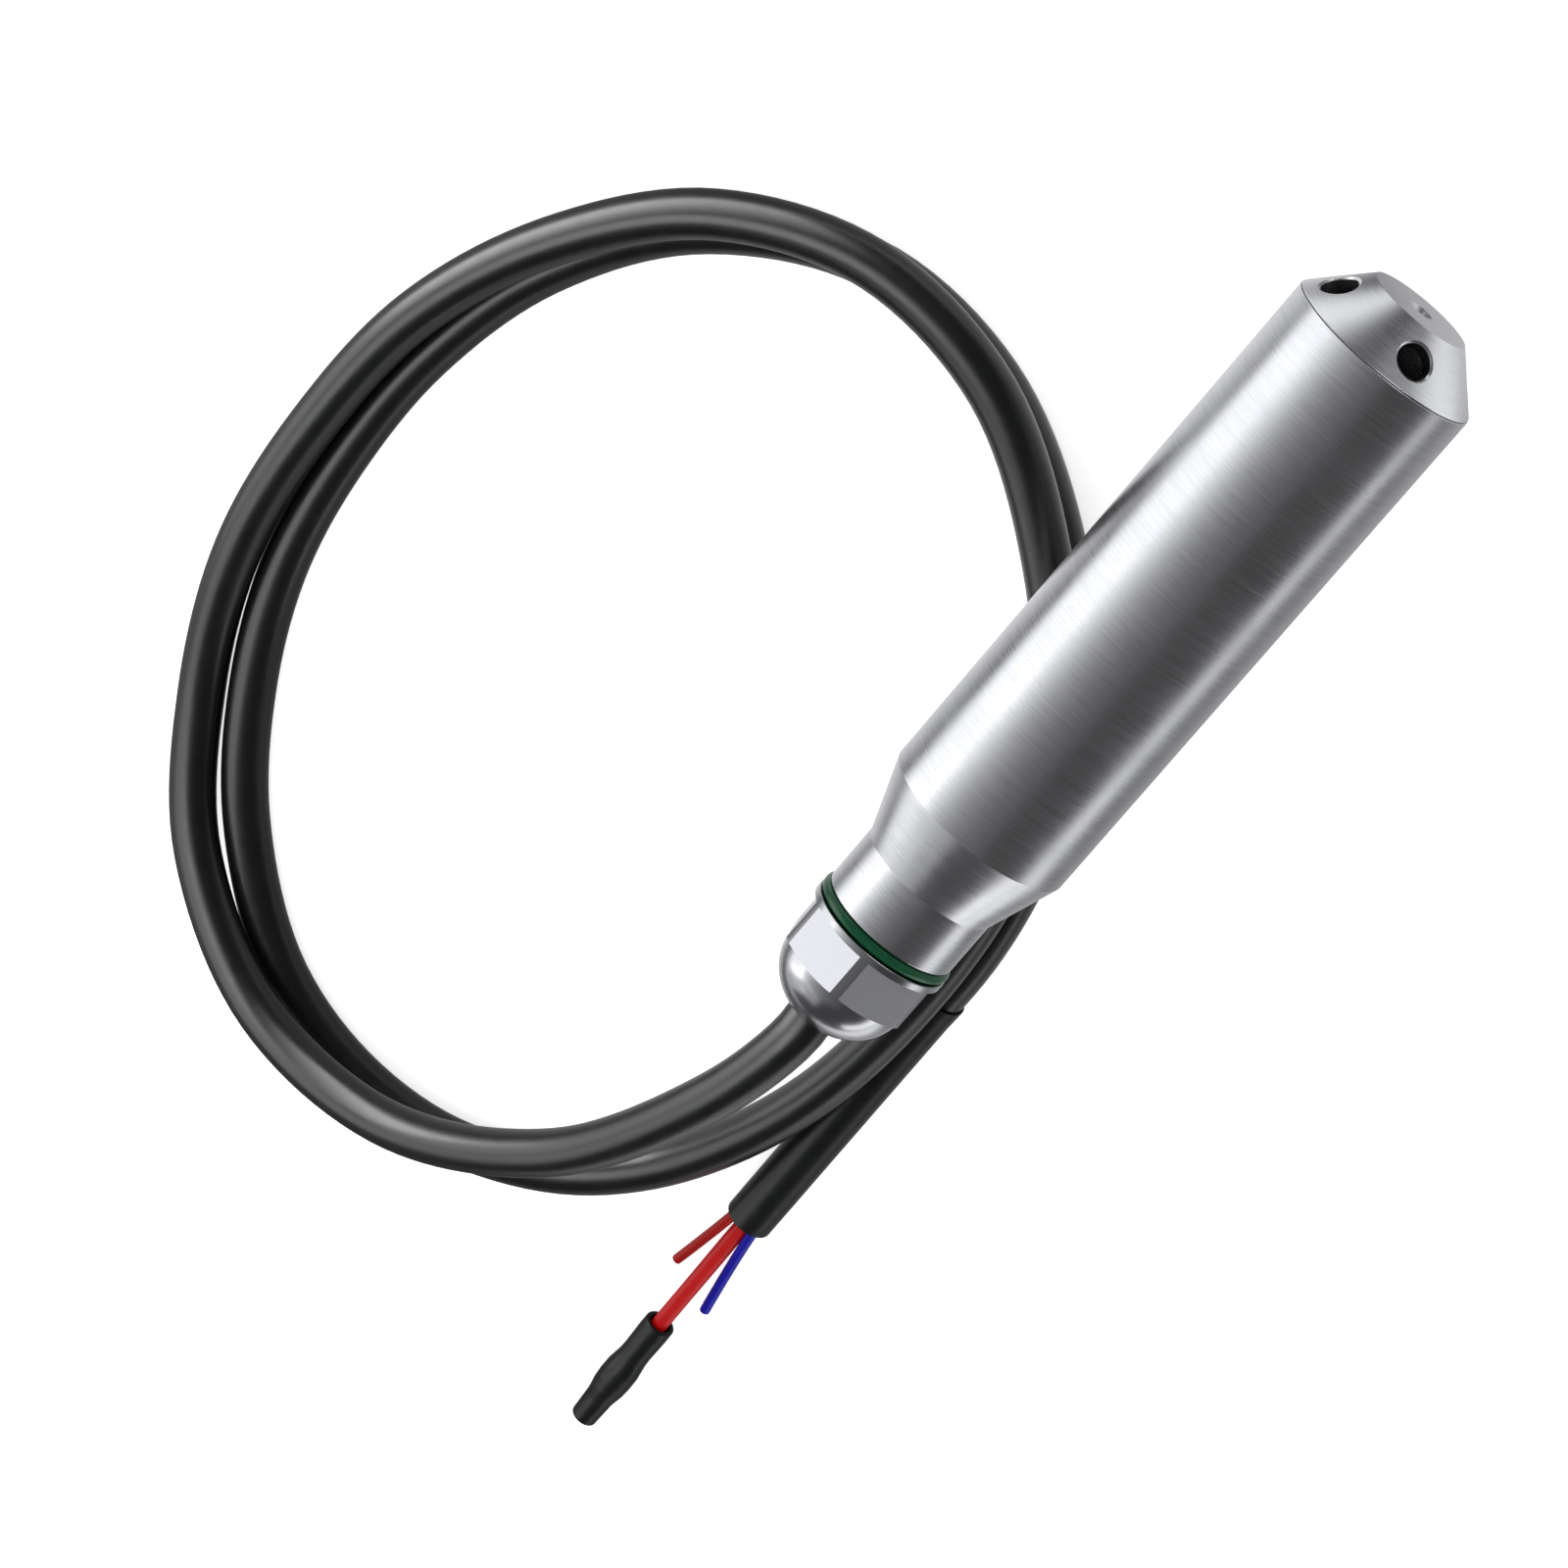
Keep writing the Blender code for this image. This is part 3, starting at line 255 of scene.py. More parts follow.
TUBE_LENGTH = 102.6
TUBE_MOUTH = Vector((0.0546753, 0, 0.0136090))
NECK_END = TUBE_MOUTH - TUBE_LENGTH * MM * FORWARD
GLAND_END = -17.1
CABLE_RADIUS = 3.5 * MM
CABLE_ROUTE = [
    (-83.5, 3.0, 39.8), (-113.5, 14.5, 31.8), (-138.0, 37.0, 19.2), (-142.15, 61.35, 11.6),
    (-130.5, 82.9, 7.0), (-109.7, 96.7, 4.8), (-85.25, 104.45, 6.8), (-60.35, 106.05, 8.5),
    (-36.0, 103.5, 9.2), (-13.5, 94.5, 9.7), (5.5, 79.5, 10.1), (15.3, 59.0, 10.5),
    (13.0, 36.5, 10.8), (0.0, 17.0, 10.8), (-22.0, -1.5, 10.8), (-47.5, -9.0, 10.9),
    (-74.5, -10.5, 11.1), (-98.0, -7.5, 9.2), (-123.0, 1.5, 4.4), (-136.5, 13.0, 3.5),
    (-144.5, 29.0, 3.5), (-145.2, 46.5, 3.5), (-139.15, 63.15, 3.5), (-123.25, 80.05, 3.5),
    (-104.25, 91.25, 3.5), (-84.75, 98.05, 3.5), (-64.15, 100.45, 3.5), (-42.5, 99.4, 3.5),
    (-20.5, 93.3, 3.5), (-0.5, 80.0, 3.5), (12.0, 59.0, 3.5), (11.0, 37.0, 3.5),
    (-1.0, 16.5, 3.5), (-23.0, -3.0, 3.5), (-48.0, -11.3, 3.5), (-68.2, -13.4, 3.7),
]
STEPS_PER_SPAN = 24


def smooth_line(points, count):
    """A smooth curve through points, given as evenly spaced points."""
    times = [0.0]
    for one, other in zip(points, points[1:]):
        times.append(times[-1] + math.sqrt((other - one).length))
    slopes = []
    for place in range(1, len(points) - 1):
        before = times[place] - times[place - 1]
        after = times[place + 1] - times[place]
        rate_in = (points[place] - points[place - 1]) / before
        rate_out = (points[place + 1] - points[place]) / after
        slopes.append((rate_in * after + rate_out * before) / (before + after))
    first = (points[1] - points[0]) / (times[1] - times[0]) * 2 - slopes[0]
    last = (points[-1] - points[-2]) / (times[-1] - times[-2]) * 2 - slopes[-1]
    slopes = [first] + slopes + [last]
    dense = []
    for place in range(len(points) - 1):
        span = times[place + 1] - times[place]
        for step in range(STEPS_PER_SPAN):
            u = step / STEPS_PER_SPAN
            dense.append(points[place] * (2 * u**3 - 3 * u**2 + 1)
                         + slopes[place] * span * (u**3 - 2 * u**2 + u)
                         + points[place + 1] * (3 * u**2 - 2 * u**3)
                         + slopes[place + 1] * span * (u**3 - u**2))
    dense.append(points[-1].copy())
    lengths = [0.0]
    for one, other in zip(dense, dense[1:]):
        lengths.append(lengths[-1] + (other - one).length)
    even = []
    place = 0
    for step in range(count):
        wanted = lengths[-1] * step / (count - 1)
        while place < len(dense) - 2 and lengths[place + 1] < wanted:
            place += 1
        share = (wanted - lengths[place]) / (lengths[place + 1] - lengths[place])
        even.append(dense[place].lerp(dense[place + 1], min(share, 1.0)))
    return even


def wire(name, points, radius, look, node, rings=10):
    """A round cable, lead or tube along points, standing for its solid."""
    data = bpy.data.curves.new(name, "CURVE")
    data.dimensions = "3D"
    data.bevel_depth = radius
    data.bevel_resolution = rings
    data.use_fill_caps = True
    spline = data.splines.new("POLY")
    spline.points.add(len(points) - 1)
    for place, point in zip(spline.points, points):
        place.co = (*point, 1.0)
    spline.use_smooth = True
    data.materials.append(look)
    made = link(bpy.data.objects.new(name, data))
    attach(made, "root")
    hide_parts(node)
    return made


def surface(name, base, roughness, metallic=0.0, specular=0.5):
    """A new material, with its tree and its Principled shader."""
    made = bpy.data.materials.new(name)
    made.use_nodes = True
    tree = made.node_tree
    shader = tree.nodes["Principled BSDF"]
    shader.inputs["Base Color"].default_value = linear(base)
    shader.inputs["Roughness"].default_value = roughness
    shader.inputs["Metallic"].default_value = metallic
    shader.inputs["Specular IOR Level"].default_value = specular
    return made, tree, shader


def mottled(name, base, roughness, tones, roughs, grain, relief, metallic=0.0, specular=0.5):
    """A material that varies softly, with a fine relief. Grain and relief are in millimetres.

    Tones are its two colours, and roughs the lowest and highest roughness between them."""
    made, tree, shader = surface(name, base, roughness, metallic, specular)
    place = add_node(tree, "TexCoord").outputs["Object"]
    noise = add_node(tree, "TexNoise", {"Vector": place, "Scale": 1000 / grain, "Detail": 4.0})
    colour = add_node(tree, "Mix", {"Factor": noise.outputs["Fac"], COLOUR_A: linear(tones[0]),
                                    COLOUR_B: linear(tones[1])}, data_type="RGBA")
    tree.links.new(colour.outputs[COLOUR_OUT], shader.inputs["Base Color"])
    rough = add_node(tree, "MapRange", {"Value": noise.outputs["Fac"],
                                        "From Min": 0.3, "From Max": 0.7,
                                        "To Min": roughs[0], "To Max": roughs[1]})
    tree.links.new(rough.outputs["Result"], shader.inputs["Roughness"])
    bump = add_node(tree, "Bump", {"Height": noise.outputs["Fac"], "Strength": 0.5,
                                   "Distance": relief * MM})
    tree.links.new(bump.outputs["Normal"], shader.inputs["Normal"])
    return made


# Extruded polyurethane: nearly black, with one soft highlight that wavers slightly.
jacket = mottled("cable_jacket", "#070808", 0.31, ("#050606", "#080909"), (0.29, 0.34),
                 grain=3.0, relief=0.01)
exit_point = NECK_END + (GLAND_END * MM - 0.3 * MM) * FORWARD
route = [exit_point, exit_point - 5.5 * MM * FORWARD] + [Vector(point) * MM for point in CABLE_ROUTE]
cable_line = smooth_line(route, count=340)
SLEEVE_AIM = Vector((-1.0, -0.016, 0.0)).normalized()
sleeve_start = cable_line[-1] + SLEEVE_AIM * 0.6 * MM
cable_line.append(sleeve_start + SLEEVE_AIM * 1.4 * MM)
cable = wire("cable_jacket", cable_line, CABLE_RADIUS, jacket, "cable")
nodes["cable_end"].data.materials.clear()
nodes["cable_end"].data.materials.append(jacket)


# ---- Sleeve over the cable's end ---------------------------------------------------------
# Thin black heat-shrink tube, slid over the cut jacket and shrunk tight, with a square cut at
# both ends. Its mouth stays open round the leads.

SLEEVE_RADIUS = 3.7
SLEEVE_LENGTH = 50.8
sleeve_start.z = SLEEVE_RADIUS * MM + 0.05 * MM


def arc_corner(before, corner, after, radius, steps=6):
    """Points that round one corner of a profile, with one more on either side of it."""
    inward = (before - corner).normalized()
    outward = (after - corner).normalized()
    angle = inward.angle(outward)
    if angle > math.radians(176):
        return [corner]
    room_in = (before - corner).length * 0.4
    room_out = (after - corner).length * 0.4
    reach = min(radius / math.tan(angle / 2), room_in, room_out)
    start = corner + inward * reach
    end = corner + outward * reach
    middle = corner + (inward + outward).normalized() * reach / math.cos(angle / 2)
    points = [start + inward * reach * 0.3]
    for step in range(steps + 1):
        mix = (start - middle) * (1 - step / steps) + (end - middle) * step / steps
        points.append(middle + mix.normalized() * (start - middle).length)
    points.append(end + outward * reach * 0.3)
    return points


def rounded(profile, radius):
    """A closed profile with its corners rounded. A third number is a corner's own radius."""
    corners = [Vector((point[0], point[1])) for point in profile]
    points = []
    for place, corner in enumerate(corners):
        own = profile[place][2] if len(profile[place]) > 2 else radius
        before = corners[place - 1]
        after = corners[(place + 1) % len(corners)]
        points += arc_corner(before, corner, after, own) if own else [corner]
    return points


def solid_mesh(name, shape):
    """A mesh of a closed shape, its faces turned outward."""
    bmesh.ops.recalc_face_normals(shape, faces=shape.faces)
    if shape.calc_volume(signed=True) < 0:
        bmesh.ops.reverse_faces(shape, faces=shape.faces)
    data = bpy.data.meshes.new(name)
    shape.to_mesh(data)
    shape.free()
    return data


def turn_about(arm, axis, side):
    """How far round an axis an arm points, from 0 at one side."""
    return math.atan2(arm.dot(axis.cross(side)), arm.dot(side)) % math.tau


def turned_shape(profile, origin, axis, side, steps):
    """A closed profile of (radius, height) points, spun about an axis.

    Its UV map is in millimetres: round the axis, and along the profile."""
    shape = bmesh.new()
    run = shape.verts.layers.float.new("run")
    outline = []
    for point in profile:
        outline.append(shape.verts.new(origin + (side * point[0] + axis * point[1]) * MM))
    length = 0.0
    for vert, following in zip(outline, outline[1:] + outline[:1]):
        vert[run] = length
        length += (following.co - vert.co).length / MM
        shape.edges.new((vert, following))
    bmesh.ops.spin(shape, geom=outline + shape.edges[:], cent=origin, axis=axis, angle=math.tau,
                   steps=steps, use_merge=True)

    def rank(verts):
        """Where a part of the shape comes: by its half step round the axis, then its run."""
        middle = sum((vert.co for vert in verts), Vector()) / len(verts) - origin
        half_step = round(turn_about(middle, axis, side) / math.pi * steps) % (steps * 2)
        return half_step * length * 4 + sum(vert[run] for vert in verts)

    # The spin makes its parts in no fixed order, and cuts in them would differ a little with it.
    shape.verts.sort(key=lambda vert: rank([vert]))
    shape.edges.sort(key=lambda edge: rank(edge.verts))
    shape.faces.sort(key=lambda face: rank(face.verts))
    widest = max(point[0] for point in profile)
    layer = shape.loops.layers.uv.new("turned")
    for face in shape.faces:
        face.smooth = True
        face_turn = turn_about(face.calc_center_median() - origin, axis, side)
        face_run = face.loops[0].vert[run]
        for corner in face.loops:
            turn = turn_about(corner.vert.co - origin, axis, side)
            turn += math.tau * round((face_turn - turn) / math.tau)
            along = corner.vert[run]
            along += length * round((face_run - along) / length)
            corner[layer].uv = (turn * widest, along)
    return shape


def turned_mesh(name, profile, origin, axis, side, steps):
    """The mesh of a turned piece, its edges sharp where its profile bends."""
    data = solid_mesh(name, turned_shape(profile, origin, axis, side, steps))
    data.set_sharp_from_angle(angle=math.radians(38))
    return data


def finish_piece(name, data, looks, node):
    """Puts a finished mesh in the scene, standing for its solid."""
    for look in looks:
        data.materials.append(look)
    made = link(bpy.data.objects.new(name, data))
    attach(made, "root")
    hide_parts(node)
    return made


# Shrunk polyolefin: black and duller than the jacket, its skin faintly pebbled.
shrink = mottled("heat_shrink", "#0b0d0c", 0.34, ("#090b0a", "#0d0f0e"), (0.31, 0.38),
                 grain=1.6, relief=0.015, specular=0.2)
sleeve_profile = rounded([
    (3.82, -0.1), (3.78, 1.5, 0.5), (SLEEVE_RADIUS, 3.5, 1.0), (SLEEVE_RADIUS, SLEEVE_LENGTH),
    (2.95, SLEEVE_LENGTH), (2.9, 2.6, 0.2), (3.54, 2.1, 0.2), (3.54, -0.1)], radius=0.12)
sleeve_mesh = turned_mesh("heat_shrink_sleeve", sleeve_profile, sleeve_start, SLEEVE_AIM,
                          Vector((0, 0, 1)), steps=96)
sleeve = finish_piece("heat_shrink_sleeve", sleeve_mesh, [shrink], "end_sleeve")


# ---- Leads and breather tube -------------------------------------------------------------
# Two thin PVC-insulated supply leads, red and blue, and a wider red breather tube. They come
# out of the sleeve side by side and come to rest on the floor.

LEAD_RADIUS = 0.8 * MM
VENT_RADIUS = 1.3 * MM
sideways = Vector((0, 0, 1)).cross(SLEEVE_AIM).normalized()


def beyond(side, up, along):
    """A point given from the sleeve's axis: beside it, above it and along it."""
    return sleeve_start + (sideways * side + Vector((0, 0, 1)) * up + SLEEVE_AIM * along) * MM


# Extruded PVC: full, even colour under a low satin shine. The leads' red is the darker one.
red_pvc = mottled("red_insulation", "#900606", 0.38, ("#880505", "#980707"), (0.35, 0.42),
                  grain=1.2, relief=0.01, specular=0.25)
vent_red = mottled("red_breather_tube", "#a80709", 0.38, ("#a00607", "#b0090b"), (0.35, 0.42),
                   grain=1.2, relief=0.01, specular=0.25)
blue_pvc = mottled("blue_insulation", "#05058a", 0.38, ("#040482", "#060692"), (0.35, 0.42),
                   grain=1.2, relief=0.01, specular=0.25)
red_line = smooth_line([
    beyond(-1.3, 1.1, 0), beyond(-1.45, 0.95, 25.4), beyond(-1.85, 0.5, 49),
    beyond(-2.35, -0.35, 54), beyond(-3.1, -1.6, 60), beyond(-4.05, -2.9, 66.8)], count=60)
blue_line = smooth_line([
    beyond(1.3, 1.1, 0), beyond(1.4, 0.9, 25.4), beyond(1.5, 0.55, 49),
    beyond(1.95, -0.25, 54.5), beyond(2.9, -1.55, 62.5), beyond(4.05, -2.9, 70.8)], count=60)
vent_line = smooth_line([
    beyond(0, -1.1, 0), beyond(0, -1.1, 25.4), beyond(0, -1.1, 51.8),
    beyond(0.1, -1.025, 63.55), beyond(0.2, -0.95, 76.3), beyond(0.25, -0.95, 79.3)], count=60)
red_lead = wire("red_lead_insulation", red_line, LEAD_RADIUS, red_pvc, "red_lead",
                rings=6)
blue_lead = wire("blue_lead_insulation", blue_line, LEAD_RADIUS, blue_pvc, "blue_lead",
                 rings=6)
vent = wire("breather_tube", vent_line, VENT_RADIUS, vent_red, "vent_tube",
            rings=8)


# ---- Breather cap ------------------------------------------------------------------------
# A hood of black heat-shrink on the breather tube's end. It bulges over the filter plug that
# it holds and necks down again to its cut end.

BREATHER_LENGTH = 22.5
BREATHER_OVERLAP = 3.0 * MM
BREATHER_BULGE = 2.75
hood_axis = (vent_line[-1] - vent_line[-3]).normalized()
hood_start = vent_line[-1] - hood_axis * BREATHER_OVERLAP
hood_profile = rounded([
    (1.7, 0), (2.38, 0), (2.42, 2.0, 1.0), (2.3, 6.6, 3.0), (2.36, 8.2, 2.0), (2.72, 11.0, 2.0),
    (BREATHER_BULGE, 13.2, 2.0), (2.62, 15.2, 1.5), (2.25, 17.4, 1.5), (2.18, 19.0, 2.0),
    (2.05, BREATHER_LENGTH), (1.5, BREATHER_LENGTH), (1.45, 21.9, 0.1), (0.02, 21.9, 0),
    (0.02, 3.2, 0), (1.5, 3.0, 0.1)], radius=0.25)
hood_mesh = turned_mesh("breather_hood", hood_profile, hood_start, hood_axis,
                        Vector((0, 0, 1)), steps=96)
breather = finish_piece("breather_hood", hood_mesh, [shrink], "breather_cap")

# Lamps for the black pieces alone: black shows nothing but the lamps that it mirrors.
lights_only("black_pieces", (cable, sleeve, breather), (
    soft_box("cable_box_side", Vector((0.25, 0.86, 0.45)), length=1.4, height=1.3, brightness=8.8,
             fade=((0.0, 1.0), (0.3, 0.9), (0.55, 0.6), (0.8, 0.25), (1.0, 0.05)),
             run=Vector((1, 0, 0))),
    soft_box("cable_box_rear", Vector((-0.72, 0.38, 0.56)), length=0.5, height=0.5, brightness=1.8,
             run=Vector((1, 1.8, 0))),
    soft_box("cable_box_above", Vector((-0.27, 0.3, 0.91)), length=0.5, height=1.1, brightness=6.0,
             fade=((0.0, 0.1), (0.25, 0.5), (0.5, 1.0), (0.75, 0.5), (1.0, 0.1)),
             run=Vector((0.4, 0.8, 0)))))


# ---- Housing tube ------------------------------------------------------------------------
# Stainless steel bar, turned to a barrel, a taper and a neck, bored through, and brushed
# round with an abrasive band, so that fine lines run round it and smear light lengthways.

TUBE_RADIUS = 14.0
TAPER_END = 19.4
TAPER_START = 8.7
NECK_RADIUS = 10.3
NECK_BORE_RADIUS = 8.0
TUBE_BORE_RADIUS = 12.0
SEAM_SIDE = -UPWARD

# Cells of the brushing's noise in each millimetre, round the axis and along it. Real brush
# lines are some hundredths of a millimetre wide. These are drawn 0.26 mm wide and 8 mm long,
# as coarse as they need to be to show, and the clouds over them are 20 mm by 8 mm.
LINE_CELLS = (0.13, 3.8, 1.0)
CLOUD_CELLS = (0.05, 0.12, 1.0)


def brushed(name, base, rough, streak=1.0):
    """Turned or brushed steel: short fine lines round the axis, strongest at a streak of 1."""
    made, tree, shader = surface(name, base, rough, 1.0)
    where = add_node(tree, "UVMap", uv_map="turned").outputs["UV"]
    stretched = add_node(tree, "Mapping", {"Vector": where, "Scale": LINE_CELLS})
    lines = add_node(tree, "TexNoise", {"Vector": stretched.outputs["Vector"], "Scale": 1.0,
                                        "Detail": 3.0, "Roughness": 0.62}).outputs["Fac"]
    broad = add_node(tree, "Mapping", {"Vector": where, "Scale": CLOUD_CELLS})
    cloud = add_node(tree, "TexNoise", {"Vector": broad.outputs["Vector"], "Scale": 1.0,
                                        "Detail": 2.0}).outputs["Fac"]
    tint = add_node(tree, "MapRange", {"Value": lines, "From Min": 0.35, "From Max": 0.65,
                                       "To Min": 1.0 - 0.09 * streak,
                                       "To Max": 1.0 + 0.07 * streak})
    colour = add_node(tree, "Mix", {"Factor": 1.0, COLOUR_A: linear(base)}, data_type="RGBA",
                      blend_type="MULTIPLY")
    tree.links.new(tint.outputs["Result"], colour.inputs[COLOUR_B])
    tree.links.new(colour.outputs[COLOUR_OUT], shader.inputs["Base Color"])
    both = add_node(tree, "Math", {0: lines, 1: cloud}, operation="ADD")
    patch = add_node(tree, "MapRange", {"Value": both.outputs["Value"],
                                        "From Min": 0.7, "From Max": 1.3,
                                        "To Min": rough - 0.045 * streak,
                                        "To Max": rough + 0.045 * streak})
    tree.links.new(patch.outputs["Result"], shader.inputs["Roughness"])
    bump = add_node(tree, "Bump", {"Height": lines, "Strength": 0.22 * streak,
                                   "Distance": 0.012 * MM})
    tree.links.new(bump.outputs["Normal"], shader.inputs["Normal"])
    return made


# Band-brushed stainless: silvery grey, its highlights drawn out lengthways and finely lined.
steel = brushed("brushed_stainless", "#c8c9cd", 0.3)
tube_profile = rounded([
    (TUBE_RADIUS, TUBE_LENGTH, 0.1), (TUBE_RADIUS, TAPER_END, 0.35),
    (NECK_RADIUS, TAPER_START, 0.3), (NECK_RADIUS, 0.0, 0.35),
    (NECK_BORE_RADIUS, 0.0), (NECK_BORE_RADIUS, 17.0),
    (TUBE_BORE_RADIUS, 24.0), (TUBE_BORE_RADIUS, TUBE_LENGTH)], radius=0.1)
tube_mesh = turned_mesh("housing_tube", tube_profile, NECK_END, FORWARD, SEAM_SIDE, steps=288)
tube = finish_piece("housing_tube", tube_mesh, [steel], "probe_tube")


# ---- Nose cap ----------------------------------------------------------------------------
# A hollow stainless cone, turned and screwed into the tube. One countersunk hole in its face
# and four larger ones round its side let the liquid through to the pressure cell.

CONE_BASE = 102.66
NOSE_END = 109.7
FACE_RADIUS = 7.4
THREAD_RADIUS = 11.7
THREAD_END = 90.9
CHAMBER_RADIUS = 9.9
CHAMBER_END = 107.7
CONE_SLOPE = (TUBE_RADIUS - FACE_RADIUS) / (NOSE_END - CONE_BASE)
HOLES = 4
HOLE_TURN = 18.6
HOLE_RADIUS = 2.5
RIM_RADIUS = 2.83
RIM_HEIGHT = 1.0 * MM


def drilled(piece, cutters, sharp):
    """Takes cutters out of a mesh piece. Edges sharper than an angle in degrees stay sharp."""
    for cutter in cutters:
        modifier = piece.modifiers.new("drill", "BOOLEAN")
        modifier.operation = "DIFFERENCE"
        modifier.solver = "EXACT"
        modifier.object = cutter
    bpy.context.view_layer.update()
    graph = bpy.context.evaluated_depsgraph_get()
    cut = bpy.data.meshes.new_from_object(piece.evaluated_get(graph))
    piece.modifiers.clear()
    old = piece.data
    piece.data = cut
    bpy.data.meshes.remove(old)
    for cutter in cutters:
        bpy.data.objects.remove(cutter)
    cut.set_sharp_from_angle(angle=math.radians(sharp))


def cone_height(spot, axis):
    """How far in millimetres the cone's surface lies from a spot along an axis."""
    low, high = -4.0, 4.0
    for _ in range(30):
        middle = (low + high) / 2
        place = spot + axis * middle * MM - NECK_END
        height = place.dot(FORWARD)
        radius = (place - FORWARD * height).length / MM
        if radius > TUBE_RADIUS - CONE_SLOPE * (height / MM - CONE_BASE):
            high = middle
        else:
            low = middle
    return middle


# Fine-turned stainless: smoother than the tube, with fainter lines round the cone.
turned_steel = brushed("turned_stainless", "#c4c5c9", 0.27, streak=0.7)
# Drilled stainless: dull, and painted dark as shade inside the holes, so they read as deep.
shaded_hole_steel = mottled("hole_wall_painted_shade", "#6c6d70", 0.42, ("#626366", "#77787b"), (0.38, 0.48),
                     grain=0.5, relief=0.004, metallic=1.0)
# Broken edge of a drilled hole: a thin ring of fresh metal, its colour lifted above the cone's as a
# painted highlight.
highlight_rim_steel = mottled("hole_rim_painted_highlight", "#dcdde0", 0.3, ("#d4d5d8", "#e2e3e6"), (0.26, 0.34),
                     grain=0.5, relief=0.002, metallic=1.0)
nose_looks = [turned_steel, shaded_hole_steel, highlight_rim_steel]
nose_profile = rounded([
    (1.9, NOSE_END, 0.06), (FACE_RADIUS, NOSE_END, 0.12), (TUBE_RADIUS, CONE_BASE, 0.1),
    (THREAD_RADIUS, CONE_BASE), (THREAD_RADIUS, THREAD_END), (CHAMBER_RADIUS, THREAD_END),
    (CHAMBER_RADIUS, 104.07), (6.53, CHAMBER_END), (1.0, CHAMBER_END), (1.0, 108.8, 0.05)],
    radius=0.1)
nose_mesh = turned_mesh("nose_cone", nose_profile, NECK_END, FORWARD, SEAM_SIDE, steps=288)
nose = finish_piece("nose_cone", nose_mesh, nose_looks, "nose_cap")
drills = []
for number in range(HOLES):
    turn = math.radians(HOLE_TURN + 360 / HOLES * number)
    radial = UPWARD * math.cos(turn) - LEFT * math.sin(turn)
    drill_axis = (radial + FORWARD * CONE_SLOPE).normalized()
    middle = NECK_END + (radial * 10.7 + FORWARD * 106.15) * MM
    shape = turned_shape([
        (0.01, -5.0), (HOLE_RADIUS, -5.0), (HOLE_RADIUS, -0.28), (2.6, -0.16),
        (RIM_RADIUS, 0.0), (3.0, 0.2), (3.0, 3.5), (0.01, 3.5)],
        middle, drill_axis, radial.cross(drill_axis).normalized(), steps=96)
    for vert in shape.verts:
        height = (vert.co - middle).dot(drill_axis)
        if abs(height) < RIM_HEIGHT:
            vert.co += drill_axis * cone_height(vert.co - drill_axis * height, drill_axis) * MM
    # A hole's wall takes the painted shade, and its rim the painted highlight.
    for face in shape.faces:
        height = (face.calc_center_median() - middle).dot(drill_axis)
        look = highlight_rim_steel if height > -RIM_HEIGHT else shaded_hole_steel
        face.material_index = nose_looks.index(look)
    drill_mesh = solid_mesh("side_drill", shape)
    for look in nose_looks:
        drill_mesh.materials.append(look)
    drills.append(link(bpy.data.objects.new("side_drill", drill_mesh)))
drilled(nose, drills, sharp=24)


# ---- Gland nut ---------------------------------------------------------------------------
# The cable gland's stainless nut: a thin collar, a milled hexagon with its corners turned
# off, and a domed end that the cable comes out of.

GLAND_RADIUS = 10.75
SPIGOT_RADIUS = 7.7
SPIGOT_END = 9.5
COLLAR_FACE = -1.75
HEX_END = -9.4
HEX_TURN = math.radians(31.5)
HEX_REACH = 19.3 / 2
DOME_RADIUS = 9.6
DOME_START = -9.9
DOME_LENGTH = 7.2
DOME_MOUTH_RADIUS = 4.5
DOME_STEPS = 24
CABLE_BORE_RADIUS = 3.8
PACKING_RADIUS = 5.7

# The dome is the part of an ellipse that ends at its mouth.
dome_height = DOME_LENGTH / math.sqrt(1 - (DOME_MOUTH_RADIUS / DOME_RADIUS) ** 2)
dome_end_turn = math.acos(DOME_MOUTH_RADIUS / DOME_RADIUS)
dome = []
for step in range(DOME_STEPS):
    turn = dome_end_turn * step / DOME_STEPS
    dome.append((DOME_RADIUS * math.cos(turn), DOME_START - dome_height * math.sin(turn), 0))
# Polished stainless: glossier than the tube, with hardly any lines, its colour darkened as painted
# shade.
dome_metal_painted_shade = brushed("dome_stainless_painted_shade", "#b4b5b9", 0.24, streak=0.4)
# Milled stainless: flats that each mirror one even, pale tone.
milled_steel = mottled("milled_stainless", "#d2d3d8", 0.42, ("#cecfd4", "#d6d7dc"), (0.4, 0.46),
                       grain=0.6, relief=0.002, metallic=1.0)
gland_looks = [dome_metal_painted_shade, milled_steel]
gland_profile = rounded([
    (SPIGOT_RADIUS, SPIGOT_END), (SPIGOT_RADIUS, COLLAR_FACE), (GLAND_RADIUS, COLLAR_FACE, 0.15),
    (GLAND_RADIUS, HEX_END, 0.1)] + dome + [
    (DOME_MOUTH_RADIUS, GLAND_END, 0.25), (CABLE_BORE_RADIUS, GLAND_END, 0.1),
    (CABLE_BORE_RADIUS, -9.9), (PACKING_RADIUS, -8.4), (PACKING_RADIUS, SPIGOT_END)], radius=0.1)
gland_mesh = turned_mesh("gland_hexagon", gland_profile, NECK_END, FORWARD, SEAM_SIDE, steps=240)
gland = finish_piece("gland_hexagon", gland_mesh, gland_looks, "gland_nut")
mills = []
